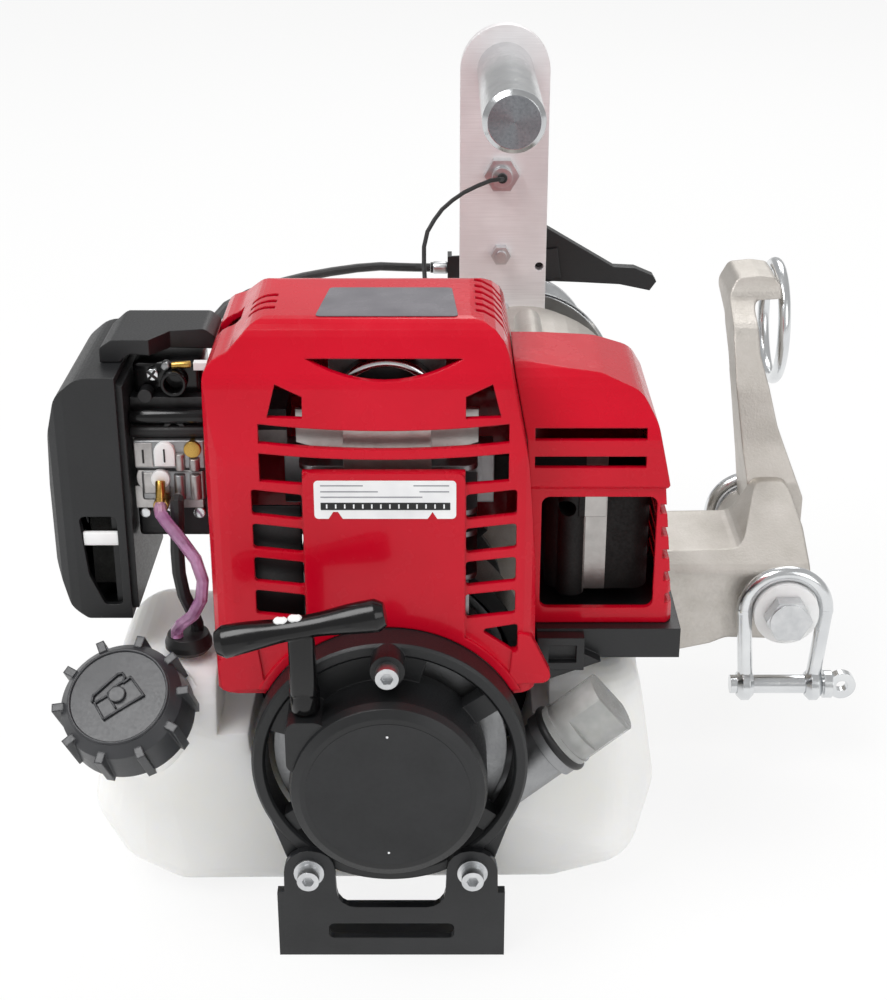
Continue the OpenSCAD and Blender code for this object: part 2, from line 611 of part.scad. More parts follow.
// A slot across the shroud's front that curves like a smile, open between two depths.
slot_w = 84;
module curved_slot(z, h, bow) {
    along_y(-5, 20) polygon(concat(
        [for (i = [-6 : 6]) [i * slot_w / 12 - 0.9, z + h / 2 - bow + bow * i * i / 36]],
        [for (i = [6 : -1 : -6]) [i * slot_w / 12 - 0.9, z - h / 2 - bow + bow * i * i / 36]]));
}
panel_z0 = 110;
panel_z1 = 187.5;
module shroud() {
    color(red) difference() {
        union() {
            difference() {
                shroud_solid(0);
                shroud_solid(skin_t);
                translate([-100, -20, 0]) cube([200, 140, crank_z + 22]);
                translate([-100, case_y0 + 30, 90]) cube([200, 80, 40]);
            }
            translate([-1, 0, 0]) along_y(0.5, 2.2 + skin_t) difference() {
                translate([0, (panel_z0 + panel_z1) / 2]) round_rect(55, panel_z1 - panel_z0, 3);
                translate([0, crank_z]) circle(arch_r);
            }
            difference() {
                bar_y(0, crank_z, 2 * arch_r + 6, 0.5, 4.5);
                translate([-60, -5, 0]) cube([120, 20, crank_z + 24]);
            }
            along_y(1, 3 + skin_t) {
                polygon(rounded([[-59.5, 103, 3], [-60.5, 115, 3], [-47, 128, 3], [-44, 104, 3]]));
                polygon(rounded([[42, 106, 3], [44, 128, 3], [50, 125, 3], [58.5, 107, 3]]));
            }
        }
        bar_y(0, crank_z, 2 * arch_r, -20, 30);
        along_y(-5, 30) polygon(concat([for (i = [-6 : 6]) [i * 4.4 - 0.6, 218.1 + i * i * 0.195]]));
        curved_slot(200.7, 6.6, 2.4);
        difference() {
            curved_slot(189, 10, 2.2);
            translate([-28.5, -6, 170]) cube([55, 12, panel_z1 - 170]);
        }
        for (s = [-1, 1]) {
            along_y(-5, 30) translate([s * 33.2 - 0.7, 211.5])
                polygon([[s * 5.9, -5.4], [s * 3, 5.8], [-s * 5.9, 1.6], [-s * 5.9, -5.8]]);
            for (i = [0 : side_slot_n - 1]) along_y(-5, 20)
                translate([s * 36.4 - 1, 175.4 - i * side_slot_pitch])
                    polygon(rounded([[-8.6, -side_slot_h / 2 - s, 1], [8.6, -side_slot_h / 2 + s, 1],
                        [8.6, side_slot_h / 2 + s, 1], [-8.6, side_slot_h / 2 - s, 1]], 2));
        }
        along_y(-5, 20) polygon(rounded([[31.5, 127.5, 1], [45, 130, 1], [45, 118, 1]], 2));
        for (i = [0 : 5]) translate([30, 26 + i * 7, 214]) cube([14, 3, 40]);
        for (i = [0 : 2]) translate([-47, 28 + i * 7, 226]) cube([9, 3, 20]);
        translate([-60, 40, 217]) cube([9, 14, 20]);
        translate([-70, 38, 175]) cube([20, 30, 20]);
        translate([40, 35, cyl_z1 - 22]) cube([20, 16, 22]);
    }
}

// The right-hand cover over the muffler.
mc_x0 = shroud_w / 2 - 3 + gap;
mc_x1 = 102.5;
mc_y0 = 24;
mc_y1 = 88;
mc_z0 = 118;
muffler_top = 213.5;
function muffler_edge(z) = mc_x1 - 5 * (z - mc_z0) / 53;
function muffler_outline(t) = rounded([[mc_x0, mc_z0, 0], [mc_x1 - t, mc_z0, 0], [muffler_edge(171) - t, 171, 0],
    [mc_x1 - 3.6 - t, 172.5, 0.5], [mc_x1 - 8.5 - t, 195, 14], [mc_x1 - 14 - t / 2, 205 - t, 10],
    [mc_x1 - 28, muffler_top - 3 - t, 14], [mc_x0 - 8.6, muffler_top - t, 0], [mc_x0 - 8, 210, 0],
    [mc_x0 - 4, 190, 0], [mc_x0 - 1, 150, 0]]);
function muffler_side(t) = rounded([[mc_y0 + 1.5 + t, 100, 0], [mc_y0 + 1.5 + t, 171, 0], [mc_y0 + t, 172.5, 0.5],
    [mc_y0 + 1 + t, 192, 20], [mc_y0 + 13 + t / 2, muffler_top - t, 14], [mc_y1 - 12 - t / 2, muffler_top - t, 10],
    [mc_y1 - t, 196, 8], [mc_y1 - t, 100, 0]]);
module muffler_solid(t, x0) {
    intersection() {
        along_y(mc_y0 - 5, mc_y1) polygon(muffler_outline(t));
        along_x(x0, 120) polygon(muffler_side(t));
        linear_extrude(260) polygon(rounded([[mc_x0 - 12, mc_y0 + t, 0], [mc_x1 - t, mc_y0 + t, 7 - t],
            [mc_x1 - t, mc_y1 - t, 7 - t], [mc_x0 - 12, mc_y1 - t, 0]]));
    }
}
module muffler_cover() {
    color(red) difference() {
        muffler_solid(0, mc_x0 - 12);
        difference() {
            muffler_solid(skin_t, mc_x0 - 13);
            translate([0, 0, 171]) cube([200, mc_y0 + 9, 2.4]);
        }
        along_y(0, 40) translate([74.3, 146]) round_rect(41, 44, 3);
        for (z = [189.5, 179.5]) translate([51, 0, z]) cube([39, 40, 4.2]);
        for (z = [126 : 8.8 : 162]) translate([muffler_edge(z) - skin_t - 0.2, 20, z]) cube([10, 58, 3.8]);
    }
}

module muffler() {
    color(steel) difference() {
        union() {
            translate([75.8, 62, 145]) linear_extrude(42, center = true) round_rect(38, 42, 7);
            translate([66, 42, 145]) cylinder(d = 10, h = 44, center = true);
            translate([cyl_w / 2 + 6, 37, cyl_z1 - 17]) cube([36, 12, 12]);
            translate([68, 37, 155]) cube([10, 12, cyl_z1 - 160]);
        }
        bar_y(64, 158, 6, 20, 50);
    }
}

module muffler_guard() {
    color(black) difference() {
        union() {
            translate([mc_x0 + 0.5, 21, 106]) cube([mc_x1 - mc_x0 + 2, mc_y1 - 20, 11.7]);
            translate([mc_x0 + 0.5, 15, 104]) cube([17, 20, 13]);
            along_y(16, 25) polygon([[mc_x0 + 0.5, 98], [76, 107], [70, 110], [mc_x0 + 0.5, 108]]);
        }
        translate([57, 25, 105]) cube([44, mc_y1 - 28, 10.2]);
        translate([57, 12, 107]) cube([10, 6, 7]);
    }
}

// The air cleaner stands at the left, its filter between the case and the outer cover.
ac_y0 = 26;
ac_y1 = 92;
module cleaner_shell(t) {
    intersection() {
        along_y(ac_y0 + t, ac_y1 - t) polygon(rounded([[-94 + t / 2, 212.1 - t, 0], [-107, 212.1 - t, 10],
            [-115.5 + t / 2, 205 - t / 2, 10], [-119.5 + t, 190, 20], [-121.5 + t, 160, 60], [-120.8 + t, 140, 20],
            [-116 + t / 2, 124 + t / 2, 8], [-110, 119.5 + t, 3], [-94 + t / 2, 119.5 + t, 0]]));
        linear_extrude(260) polygon(rounded([[-121.5 + t, ac_y0 + t, 9], [-88, ac_y0 + t, 0],
            [-88, ac_y1 - t, 0], [-121.5 + t, ac_y1 - t, 9]]));
    }
}
module air_cleaner_cover() {
    color(black) difference() {
        cleaner_shell(0);
        cleaner_shell(skin_t);
        along_y(ac_y0 - 1, ac_y0 + skin_t + 0.4) polygon(rounded([[-110.5, 160, 2], [-97, 160, 2], [-97, 125, 2],
            [-103.5, 125, 2], [-108.5, 137, 8]]));
        for (i = [0 : 3]) translate([-130, ac_y0 + 16 + i * 10, 132]) cube([12.5, 3, 34]);
    }
}
module air_cleaner_case() {
    color(black) difference() {
        along_y(ac_y0 + 3, ac_y1 - 3) polygon([[-92, 208], [-99.6, 209.2], [-99.6, 122.3], [-92, 122.3]]);
        translate([-101, 52, 172]) cube([20, 20, 20]);
    }
}
module air_filter() {
    color([0.2, 0.2, 0.22]) translate([-109, ac_y0 + 12, 128]) cube([9, ac_y1 - ac_y0 - 24, 62]);
}

module choke_guard() {
    color(black) intersection() {
        along_y(42, 76) polygon(rounded([[-101.5, 212.4, 0.3], [-101.5, 217.5, 2], [-97, 220.5, 3], [-66, 220.5, 3],
            [-62.5, 217.5, 1], [-62.5, 213, 0.5], [-92, 215.5, 4], [-94.5, 212.4, 0.5]], 3));
        linear_extrude(260) polygon([[-103, 42], [-84, 42], [-78, 52], [-62, 55], [-62, 76], [-96, 76], [-103, 66]]);
    }
}

// The choke lever turns on a stub behind the carburettor.
choke_place = [-84, 190];
module choke_lever() {
    color(black) difference() {
        union() {
            along_y(carb_y1 + 1, carb_y1 + 4) polygon([[-87, 192], [-81, 192], [-80.5, 207], [-83, 210],
                [-86, 207]]);
            bar_y(choke_place[0], choke_place[1], 10, carb_y1 + 1, carb_y1 + 4);
        }
        bar_y(choke_place[0], choke_place[1], 4 + 2 * running, 40, 90);
    }
}

carb_x0 = -91.7;
nipple_y = 27;
module carburettor() {
    color(cast_grey) difference() {
        union() {
            translate([carb_x0, 40, 176]) cube([26, carb_y1 - 40, 24]);
            translate([-91, 34, 160]) cube([24, 32, 8.5]);
            translate([-90, 36, 167]) cube([22, 28, 10]);
            translate([-66, 44, 178]) cube([66 - cyl_w / 2 - 6, 20, 16]);
            bar_y(choke_place[0], choke_place[1], 4, carb_y1 - 1, carb_y1 + 5);
            bar_y(-84, 172, 12, 33, 40);
            bar_y(-72, 174, 7.5, 33, 40);
            bar_y(-76, 189, 8, 36, 44);
            bar_y(-86, 201, 5, 38, 44);
            for (p = [fuel_route[0], return_route[0]]) bar_y(p[0], p[2], 3, nipple_y, 37);
        }
        bar_y(-76, 189, 5, 30, 42);
        translate([-100, 48, 172]) rotate([0, 90, 0]) cylinder(d = 10, h = 3);
    }
}

module fuel_hose() {
    color([0.6, 0.4, 0.65]) hose(fuel_route, 4.6, 10);
}
module return_hose() {
    color(black) hose(return_route, 5, 10);
}
grommet_place = [-74.5, 27.5, 105.8];
module tank_grommet() {
    color(black) {
        translate(grommet_place) rotate_extrude() polygon([[0, 0], [7, 0], [8.6, 2], [8.6, 4], [7.5, 6.9], [0, 6.9]]);
    }
}
module cable_tie() {
    color(nylon) {
        translate([carb_x0 + 26.3, 42.7, 178]) cube([1.6, 1.2, 32]);
        translate([-68.8, 41.7, 209.4]) cube([7, 3.2, 2.8]);
    }
}

// Blow-moulded tank: a saddle below the crankcase with a lobe on either side.
module tank_body() {
    left = -tank_w / 2 - 10;
    right = tank_w / 2 - 4;
    back = 12 + tank_d;
    difference() {
        hull() {
            for (y = [36, back - 18]) {
                translate([left + 18, y, tank_z + 36]) sphere(18, $fn = 32);
                translate([left + 36, y - 2, tank_z + 16]) sphere(16, $fn = 32);
                translate([left + 24, y, tank_z + 24]) sphere(18, $fn = 32);
                translate([right - 42, y, tank_z + 16]) sphere(16, $fn = 32);
                translate([right - 24, y, tank_z + 24]) sphere(18, $fn = 32);
            }
            for (y = [46, back - 18]) {
                translate([right - 18, y, tank_z + 38]) sphere(18, $fn = 32);
                translate([right - 22, y, 78]) sphere(16, $fn = 32);
            }
            for (y = [26, back - 18]) translate([left + 28, y, 88]) sphere(18, $fn = 32);
        }
        bar_y(0, crank_z, 2 * (bell_r + gap), -20, 120);
        translate([-63.5, -20, crank_z]) cube([122, 140, 60]);
        cap_axis() translate([0, 0, -cap_h - 1]) cylinder(r = cap_d / 2 + 1.8, h = 60);
        oil_axis() translate([0, 0, -10]) cylinder(d = oil_cap_d + 5, h = 90);
    }
}
module oil_axis() {
    translate(oil_foot) rotate([0, oil_lean, 0]) children();
}
module cap_axis() {
    translate(cap_top) rotate(cap_turn) children();
}
module fuel_tank() {
    color(natural) union() {
        tank_body();
        cap_axis() translate([0, 0, -cap_h - 16]) cylinder(d = 34, h = 19);
        cap_axis() translate([0, 0, -cap_h - 16]) cylinder(d = 30, h = 31);
    }
}
module fuel_cap() {
    color(black) cap_axis() difference() {
        union() {
            translate([0, 0, -cap_h]) rotate_extrude() polygon([[0, 0], [cap_d / 2 - 1, 0], [cap_d / 2, 1],
                [cap_d / 2 - 1.5, cap_h - 5], [cap_d / 2 - 5, cap_h - 1], [0, cap_h]]);
            for (i = [0 : cap_ribs - 1]) rotate([0, 0, i * 360 / cap_ribs])
                translate([cap_d / 2 - 3, -1.5, -cap_h]) cube([4.2, 3, cap_h - 3]);
            translate([0, 0, -1]) cylinder(d = 6, h = 2.2);
        }
        translate([0, 0, -cap_h - 1]) cylinder(d = 34 + 2 * gap, h = 4.4);
        translate([0, 0, -cap_h - 1]) cylinder(d = 30 + 2 * gap, h = cap_h - 2.4);
    }
}

// The filler leaves the crankcase low on the right and leans outwards.
oil_foot = [38, oil_y + 8, 56];
oil_neck_d = 22;
module oil_neck() {
    color(cast_grey) difference() {
        oil_axis() difference() {
            union() {
                translate([0, 0, -8]) cylinder(d = oil_neck_d, h = oil_l - 2);
                translate([0, 0, oil_l - 12]) cylinder(d = 25, h = 6);
            }
            translate([0, 0, -4]) cylinder(d = 15, h = oil_l + 10);
        }
        bar_y(0, crank_z, 2 * case_r, -20, 80);
    }
}
module oil_cap() {
    color([0.6, 0.6, 0.6]) oil_axis() {
        translate([0, 0, oil_l - 6]) cylinder(d = oil_cap_d + 1, h = 3);
        difference() {
            translate([0, 0, oil_l - 3]) cylinder(d = oil_cap_d, h = 20);
            for (s = [-1, 1]) translate([-20, s * (oil_cap_d / 2 + 3) - 6, oil_l + 3]) cube([40, 12, 30]);
        }
        translate([0, 0, oil_l - 16]) cylinder(d = 14, h = 14);
        translate([0, 0, oil_l - 38]) cylinder(d = 5, h = 30);
    }
}

// Outline of the gear housing, grown or shrunk by t.
module case_outline(t) {
    circles = [[shaft_in, 24], [shaft_a, mod_1 * gear_z1 / 2 + 4], [shaft_b, mod_2 * gear_z2 / 2 + 4],
        [shaft_out, mod_3 * gear_z3 / 2 + 4]];
    hull() for (c = circles) translate(c[0]) circle(c[1] + t);
}
block_x0 = bolt_x - 23;
block_x1 = bolt_x + 11.5;
block_z0 = bolt_z - 18;
block_z1 = bolt_z + 18;
block_y0 = box_y0;
block_y1 = 213;
module anchor_block(y0, y1) {
    intersection() {
        along_y(y0, y1) polygon(rounded([[90, 44, 0], [134, 54, 6], [block_x0, block_z0 + 1, 8],
            [block_x1, block_z0, 8], [block_x1 - 0.5, 99, 6], [block_x1 - 4, 110, 5], [157, 110, 5],
            [147.5, 94, 8], [90, 93, 0]]));
        along_x(80, 200) polygon(rounded([[block_y0, 40, 0], [block_y0, block_z1 - 3, 5],
            [box_y1 - 3, 111, 4], [block_y1, 111, 0], [block_y1, 40, 0]]));
    }
}
module rear_boss(y0, y1) {
    bar_y(bolt_x, bolt_z, 32, y0, y1);
    along_y(y0, y1 - 3) polygon([[90, 48], [bolt_x, block_z0 + 2], [bolt_x, 72], [90, 72]]);
}
module housing_feet(y0, y1) {
    for (x = [-16, 44]) translate([x, y0, 0]) cube([16, y1 - y0, 34]);
}
module screw_bosses(y0, y1, d) {
    for (p = screw_places) bar_y(p[0], p[1], d, y0, y1);
}
screw_places = [[-24, 100], [-12, 30], [60, 24], [98, 62], [104, 126], [56, 176], [4, 140]];

module housing_front() {
    color(cast_grey) difference() {
        union() {
            along_y(box_y0, box_y1 - 0.02) case_outline(house_t);
            anchor_block(block_y0, box_y1 - 0.02);
            housing_feet(box_y0 + 12, box_y1 - 0.02);
            screw_bosses(box_y0, box_y1 - 0.02, 12);
        }
        along_y(box_y0 + house_t, box_y1 + 5) case_outline(0);
        bar_y(bolt_x, bolt_z, bolt_d + 0.4, block_y0 - 1, box_y1 + 1);
        bar_y(0, crank_z, 20, box_y0 - 5, box_y0 + 10);
        for (p = [shaft_a, shaft_b]) bar_y(p[0], p[1], 22, box_y0 + house_t - 1, box_y0 + house_t + 1);
        screw_bosses(box_y0 - 1, box_y1 + 1, 5.4);
    }
}

module housing_rear() {
    color(cast_grey) difference() {
        union() {
            difference() {
                along_y(box_y1, box_y2 - 20) case_outline(house_t);
                along_y(box_y1 - 5, gear_y3 + gear_w3 + 5) case_outline(0);
            }
            bar_y(drum_x, drum_z, 86, box_y2 - 24, box_y2);
            rear_boss(box_y1, block_y1);
            housing_feet(box_y1, box_y2 - 20);
            screw_bosses(box_y1, box_y1 + 20, 12);
            rope_arm();
        }
        bar_y(bolt_x, bolt_z, bolt_d + 0.4, box_y1 - 1, block_y1 + 1);
        bar_y(drum_x, drum_z, 42, gear_y3 + gear_w3 + 1, box_y2 - 12);
        bar_y(drum_x, drum_z, out_shaft_d + 2, 0, 300);
        for (p = [shaft_a, shaft_b]) bar_y(p[0], p[1], 22, gear_y3 + gear_w3, gear_y3 + gear_w3 + 10);
        screw_bosses(box_y1 - 1, box_y1 + 16, 5);
        for (p = plate_screws) bar_y(p[0], p[1], 6, box_y2 - 14, box_y2 + 5);
        translate([guide_x, guide_y, guide_z]) rotate([0, 90, 0]) rotate_extrude()
            translate([guide_d / 2 - guide_rod / 2, 0]) circle(d = guide_rod + 0.1);
    }
}

// Where the rope guide ring sits, square to X, in the head of the arm.
guide_x = 176.4;
guide_y = 258;
guide_z = 157;
module rope_arm() {
    z0 = bolt_z + 12;
    intersection() {
        along_y(box_y1, 280) polygon(rounded([[157, z0, 0], [154.5, 108.5, 8], [149.6, 146.5, 20],
            [149, 165, 14], [150, 177, 8], [154, 184.5, 4], [164, 185.5, 6], [171.5, 184.5, 3], [174.2, 181, 3],
            [174.2, 176.6, 1], [160.5, 176, 3], [160.5, 160, 8], [164, 147.5, 14], [168.3, 130.2, 20],
            [176.6, 108.5, 10], [180, 100, 5], [180, z0, 0]]));
        along_x(100, 220) polygon(rounded([[box_y1, z0, 0], [box_y1, 107, 3], [187, 122, 20], [193, 146, 20],
            [206, 168, 20], [234, 178, 10], [236, 186, 3], [240, 200, 0], [guide_y + 6, 200, 0],
            [guide_y + 6, 174, 4], [236, 168, 16], [213.5, 150, 20], [block_y1, 104, 0], [block_y1, z0, 0]]));
    }
}
module guide_ring() {
    color(polished) translate([guide_x, guide_y, guide_z]) rotate([0, 90, 0]) rotate_extrude()
        translate([guide_d / 2 - guide_rod / 2, 0]) circle(d = guide_rod);
}

module housing_screws() {
    color(steel) for (p = screw_places) socket_bolt(p[0], p[1], box_y0, 5, 65);
}

module first_gear() {
    y3 = gear_y3 + gear_w3 + 8;
    color(steel) {
        gear(shaft_a, mod_1, gear_z1, mesh_turn(shaft_a, shaft_in, gear_z1), gear_y1, gear_y1 + gear_w1);
        gear(shaft_a, mod_2, pinion_z, bearing_of(shaft_a, shaft_b), gear_y1 + gear_w1 + 2,
            gear_y2 + gear_w2 + 1);
        bar_y(shaft_a[0], shaft_a[1], mid_shaft_d, box_y0 + house_t, y3);
        bar_y(shaft_a[0], shaft_a[1], 15, gear_y1 + gear_w1 - 1, gear_y1 + gear_w1 + 3);
    }
}
module second_gear() {
    y3 = gear_y3 + gear_w3 + 8;
    color(steel) {
        gear(shaft_b, mod_2, gear_z2, mesh_turn(shaft_b, shaft_a, gear_z2), gear_y2, gear_y2 + gear_w2);
        gear(shaft_b, mod_3, pinion_z, bearing_of(shaft_b, shaft_out), gear_y2 + gear_w2 - 1,
            gear_y3 + gear_w3 + 1);
        bar_y(shaft_b[0], shaft_b[1], mid_shaft_d, box_y0 + house_t, y3);
    }
}
module output_gear() {
    color(steel) {
        gear(shaft_out, mod_3, gear_z3, mesh_turn(shaft_out, shaft_b, gear_z3), gear_y3, gear_y3 + gear_w3);
        bar_y(drum_x, drum_z, out_shaft_d, gear_y3 - 12, nut_y1 - 2);
        bar_y(drum_x, drum_z, out_shaft_d + 12, gear_y3 - 2, gear_y3 + gear_w3);
    }
}

module bearing(x, z, d, bore, y0, y1) {
    difference() {
        bar_y(x, z, d, y0, y1);
        bar_y(x, z, bore + 2 * running, y0 - 1, y1 + 1);
    }
}
module gear_bearings() {
    y3 = gear_y3 + gear_w3;
    color(polished) {
        for (p = [shaft_a, shaft_b]) {
            bearing(p[0], p[1], 22, mid_shaft_d, box_y0 + house_t - 1, box_y0 + house_t + 2.8);
            bearing(p[0], p[1], 22, mid_shaft_d, y3 + 3, y3 + 10);
        }
        bearing(0, crank_z, 20, mid_shaft_d, box_y0, box_y0 + 6);
        bearing(drum_x, drum_z, 42, out_shaft_d, y3 + 3, y3 + 15);
    }
}

module capstan_drum() {
    r = drum_core_r;
    color(polished) spin_y(drum_x, drum_z)
        polygon([[out_shaft_d / 2, flange_y0], [flange_r - 1, flange_y0], [flange_r, flange_y0 + 1],
            [flange_r, flange_y0 + 3], [flange_r - 5, core_y0], [r + 6, core_y0 + 3], [r + 2, core_y0 + 7],
            [r, core_y0 + 12], [r, core_y1 - 12], [r + 1.5, core_y1 - 7], [r + 4, core_y1 - 3],
            [outer_flange_r - 1, core_y1], [outer_flange_r, core_y1 + 2], [outer_flange_r, drum_y1 - 1],
            [outer_flange_r - 1, drum_y1], [out_shaft_d / 2, drum_y1]]);
}
module drum_nut() {
    color(steel) difference() {
        union() {
            bar_y(drum_x, drum_z, 36, drum_y1, drum_y1 + 2);
            along_y(drum_y1 + 2, nut_y1) translate([drum_x, drum_z]) circle(d = 34, $fn = 6);
        }
        bar_y(drum_x, drum_z, out_shaft_d, drum_y1 - 1, nut_y1 + 1);
    }
}

// The anchor bolt carries a thimble and a shackle at either end.
thimble_t = 9;
front_thimble_y = block_y0 - 12;
rear_thimble_y = block_y1 + 3;
module anchor_bolt() {
    head_y = front_thimble_y - 0.5;
    tail_y = rear_thimble_y + thimble_t + 0.5;
    color(steel) {
        along_y(head_y - 6.5, head_y) translate([bolt_x, bolt_z]) circle(r = 17 / 2 / cos(30), $fn = 6);
        bar_y(bolt_x, bolt_z, 16.4, head_y - 7.2, head_y - 6.5);
        bar_y(bolt_x, bolt_z, bolt_d, head_y, tail_y + 11);
        along_y(tail_y, tail_y + 8.5) translate([bolt_x, bolt_z]) circle(r = 17 / 2 / cos(30), $fn = 6);
    }
}
module thimble(y0) {
    difference() {
        union() {
            bar_y(bolt_x, bolt_z, thimble_d, y0, y0 + thimble_t);
        }
        bar_y(bolt_x, bolt_z, bolt_d, y0 - 1, y0 + thimble_t + 1);
    }
}
module nylon_thimbles() {
    color(nylon) {
        thimble(front_thimble_y);
        thimble(rear_thimble_y);
    }
}

bow_r = thimble_d / 2 + gap + shackle_rod / 2;
eye_x = 14.7;
module shackle_bow() {
    rotate([90, 0, 0]) rotate_extrude(angle = 180) translate([bow_r, 0]) circle(d = shackle_rod);
    leg = norm([bow_r - eye_x, shackle_h - 5]);
    lean = atan((bow_r - eye_x) / (shackle_h - 5));
    for (s = [-1, 1]) {
        translate([s * bow_r, 0, 0]) sphere(d = shackle_rod + 0.3);
        translate([s * bow_r, 0, 0]) rotate([0, s * lean, 0]) translate([0, 0, -leg])
            cylinder(d = shackle_rod, h = leg);
        translate([s * eye_x - 3.5, 0, -shackle_h]) rotate([0, 90, 0])
            rotate_extrude() polygon([[0, 0], [5, 0], [7, 2], [7, 5], [5, 7], [0, 7]]);
    }
}
module shackle(y0) {
    color(polished) translate([bolt_x, y0, bolt_z]) difference() {
        shackle_bow();
        translate([-30, 0, -shackle_h]) rotate([0, 90, 0]) cylinder(d = shackle_pin_d + 0.3, h = 60);
    }
}
module shackle_pin(y0, s) {
    color(polished) translate([bolt_x, y0, bolt_z - shackle_h]) mirror([s, 0, 0]) {
        rotate([0, 90, 0]) translate([0, 0, -21]) cylinder(d = shackle_pin_d, h = 42);
        translate([19, 0, 0]) rotate([0, 90, 0]) cylinder(d = 12, h = 3.5);
        difference() {
            translate([27, 2, 0]) rotate([90, 0, 0]) cylinder(d = 12, h = 4);
            translate([27, 5, 0]) rotate([90, 0, 0]) cylinder(d = 5, h = 10);
        }
    }
}
front_shackle_y = front_thimble_y + thimble_t / 2;
rear_shackle_y = rear_thimble_y + thimble_t / 2;
module front_shackle() {
    shackle(front_shackle_y);
}
module front_shackle_pin() {
    shackle_pin(front_shackle_y, 0);
}
module rear_shackle() {
    shackle(rear_shackle_y);
}
module rear_shackle_pin() {
    shackle_pin(rear_shackle_y, 1);
}

plate_screws = [[plate_x - 12, plate_bottom + 8], [plate_x + 12, plate_bottom + 8], [plate_x, plate_bottom + 20]];
module handle_plate() {
    color(steel) difference() {
        along_y(plate_y0, plate_y1) union() {
            translate([plate_x, bar_z]) circle(d = plate_w, $fn = 96);
            translate([plate_x - plate_w / 2, plate_bottom]) square([plate_w, bar_z - plate_bottom]);
        }
        bar_y(plate_x, bar_z, 8, 200, 300);
        bar_y(plate_x, switch_z, 12, 200, 300);
        bar_y(plate_x - 1, locknut_z, 5, 200, 300);
        bar_y(throttle_x - 5, throttle_z, 4, 200, 300);
        for (p = plate_screws) bar_y(p[0], p[1], 6, 200, 300);
    }
}
module handle_bar() {
    color(steel) difference() {
        spin_y(plate_x, bar_z) polygon([[0, plate_y0 - bar_l], [bar_d / 2 - 2, plate_y0 - bar_l],
            [bar_d / 2, plate_y0 - bar_l + 2], [bar_d / 2, plate_y0], [0, plate_y0]]);
        bar_y(plate_x, bar_z, 8, plate_y0 - 20, plate_y0 + 1);
    }
}
module plate_bolts() {
    color(steel) {
        for (p = plate_screws) mirror([0, 0, 0]) {
            bar_y(p[0], p[1], 6, box_y2 - 14, plate_y1);
            along_y(plate_y1, plate_y1 + 2.5) translate(p) circle(d = 11, $fn = 6);
        }
        bar_y(plate_x, bar_z, 8, plate_y0 - 20, plate_y1);
        along_y(plate_y1, plate_y1 + 5) translate([plate_x, bar_z]) circle(d = 15, $fn = 6);
        along_y(plate_y0 - 5, plate_y0) translate([plate_x - 1, locknut_z]) circle(d = 9.2, $fn = 6);
        bar_y(plate_x - 1, locknut_z, 5, plate_y0 - 7, plate_y1 + 2.5);
    }
}

module stop_switch() {
    color(steel) difference() {
        union() {
            along_y(plate_y0 - 5, plate_y0) translate([plate_x - 1, switch_z]) circle(d = 16, $fn = 6);
            bar_y(plate_x - 1, switch_z, 9, plate_y0 - 9, plate_y0);
            bar_y(plate_x - 0.5, switch_z, 10.8, plate_y0, plate_y1 + 2);
            bar_y(plate_x - 0.5, switch_z, 16, plate_y1, plate_y1 + 4);
        }
        bar_y(plate_x - 0.5, switch_z, 8.4, plate_y1 - 4, plate_y1 + 5);
    }
}
module stop_button() {
    color(red) bar_y(plate_x - 0.5, switch_z, 8, plate_y1 - 0.5, plate_y1 + 9);
}
module stop_wire() {
    color(black) hose(wire_route, 2, 8);
}

lever_y0 = plate_y1 + 1.5;
module throttle_lever() {
    color(black) difference() {
        union() {
            along_y(lever_y0, lever_y0 + lever_t) polygon([[62, 196], [66.6, 203.5], [98.7, 184.5],
                [108.6, 184], [117.3, 180.3], [119, 177.5], [116, 173.2], [101.8, 176.2], [82.9, 177.2],
                [68, 177.8]]);
            bar_y(throttle_x, throttle_z, 19, lever_y0, lever_y0 + lever_t);
        }
        bar_y(throttle_x, throttle_z, 5 + 2 * running, 200, 300);
    }
}
module throttle_bracket() {
    color(black) {
        difference() {
            union() {
                along_y(plate_y1, plate_y1 + 1.2) polygon([[22, 179], [22, 190], [56, 192], [72, 194], [74, 180],
                    [60, 178]]);
                along_x(21, 23) polygon([[plate_y1, 179], [plate_y1 + 9, 179], [plate_y1 + 9, 190],
                    [plate_y1, 190]]);
                bar_y(throttle_x, throttle_z, 5, plate_y1, lever_y0 + lever_t + 1);
                bar_y(throttle_x, throttle_z, 9, lever_y0 + lever_t + 0.3, lever_y0 + lever_t + 2);
            }
            bar_y(plate_x - 1, locknut_z, 5.2, 200, 300);
        }
        translate([13, lever_y0 + 4.5, 183]) rotate([0, 90, 0]) cylinder(d = 5, h = 8);
    }
}
module throttle_cable() {
    color(black) hose(cable_route, 4, 10);
}

foot_bracket();
foot_bolts();
recoil_cover();
recoil_reel();
starter_grip();
starter_rope();
boss_bolt();
crankcase();
cylinder_block();  // cylinder
timing_cover();
spark_plug();
plug_boot();
crankshaft();
flywheel();
clutch_shoes();
clutch_drum();
fan_housing();
shroud();
muffler_cover();
muffler();
muffler_guard();
air_cleaner_case();
air_cleaner_cover();
air_filter();
choke_guard();
choke_lever();
carburettor();
fuel_hose();
return_hose();
tank_grommet();
cable_tie();
fuel_tank();
fuel_cap();
oil_neck();
oil_cap();
housing_front();
housing_rear();
housing_screws();
first_gear();
second_gear();
output_gear();
gear_bearings();
capstan_drum();
drum_nut();
anchor_bolt();
nylon_thimbles();
front_shackle();
front_shackle_pin();
rear_shackle();
rear_shackle_pin();
guide_ring();
handle_plate();
handle_bar();
plate_bolts();
stop_switch();
stop_button();
stop_wire();
throttle_lever();
throttle_bracket();
throttle_cable();
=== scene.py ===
import bpy
import bmesh
import math
from mathutils import Vector, Matrix


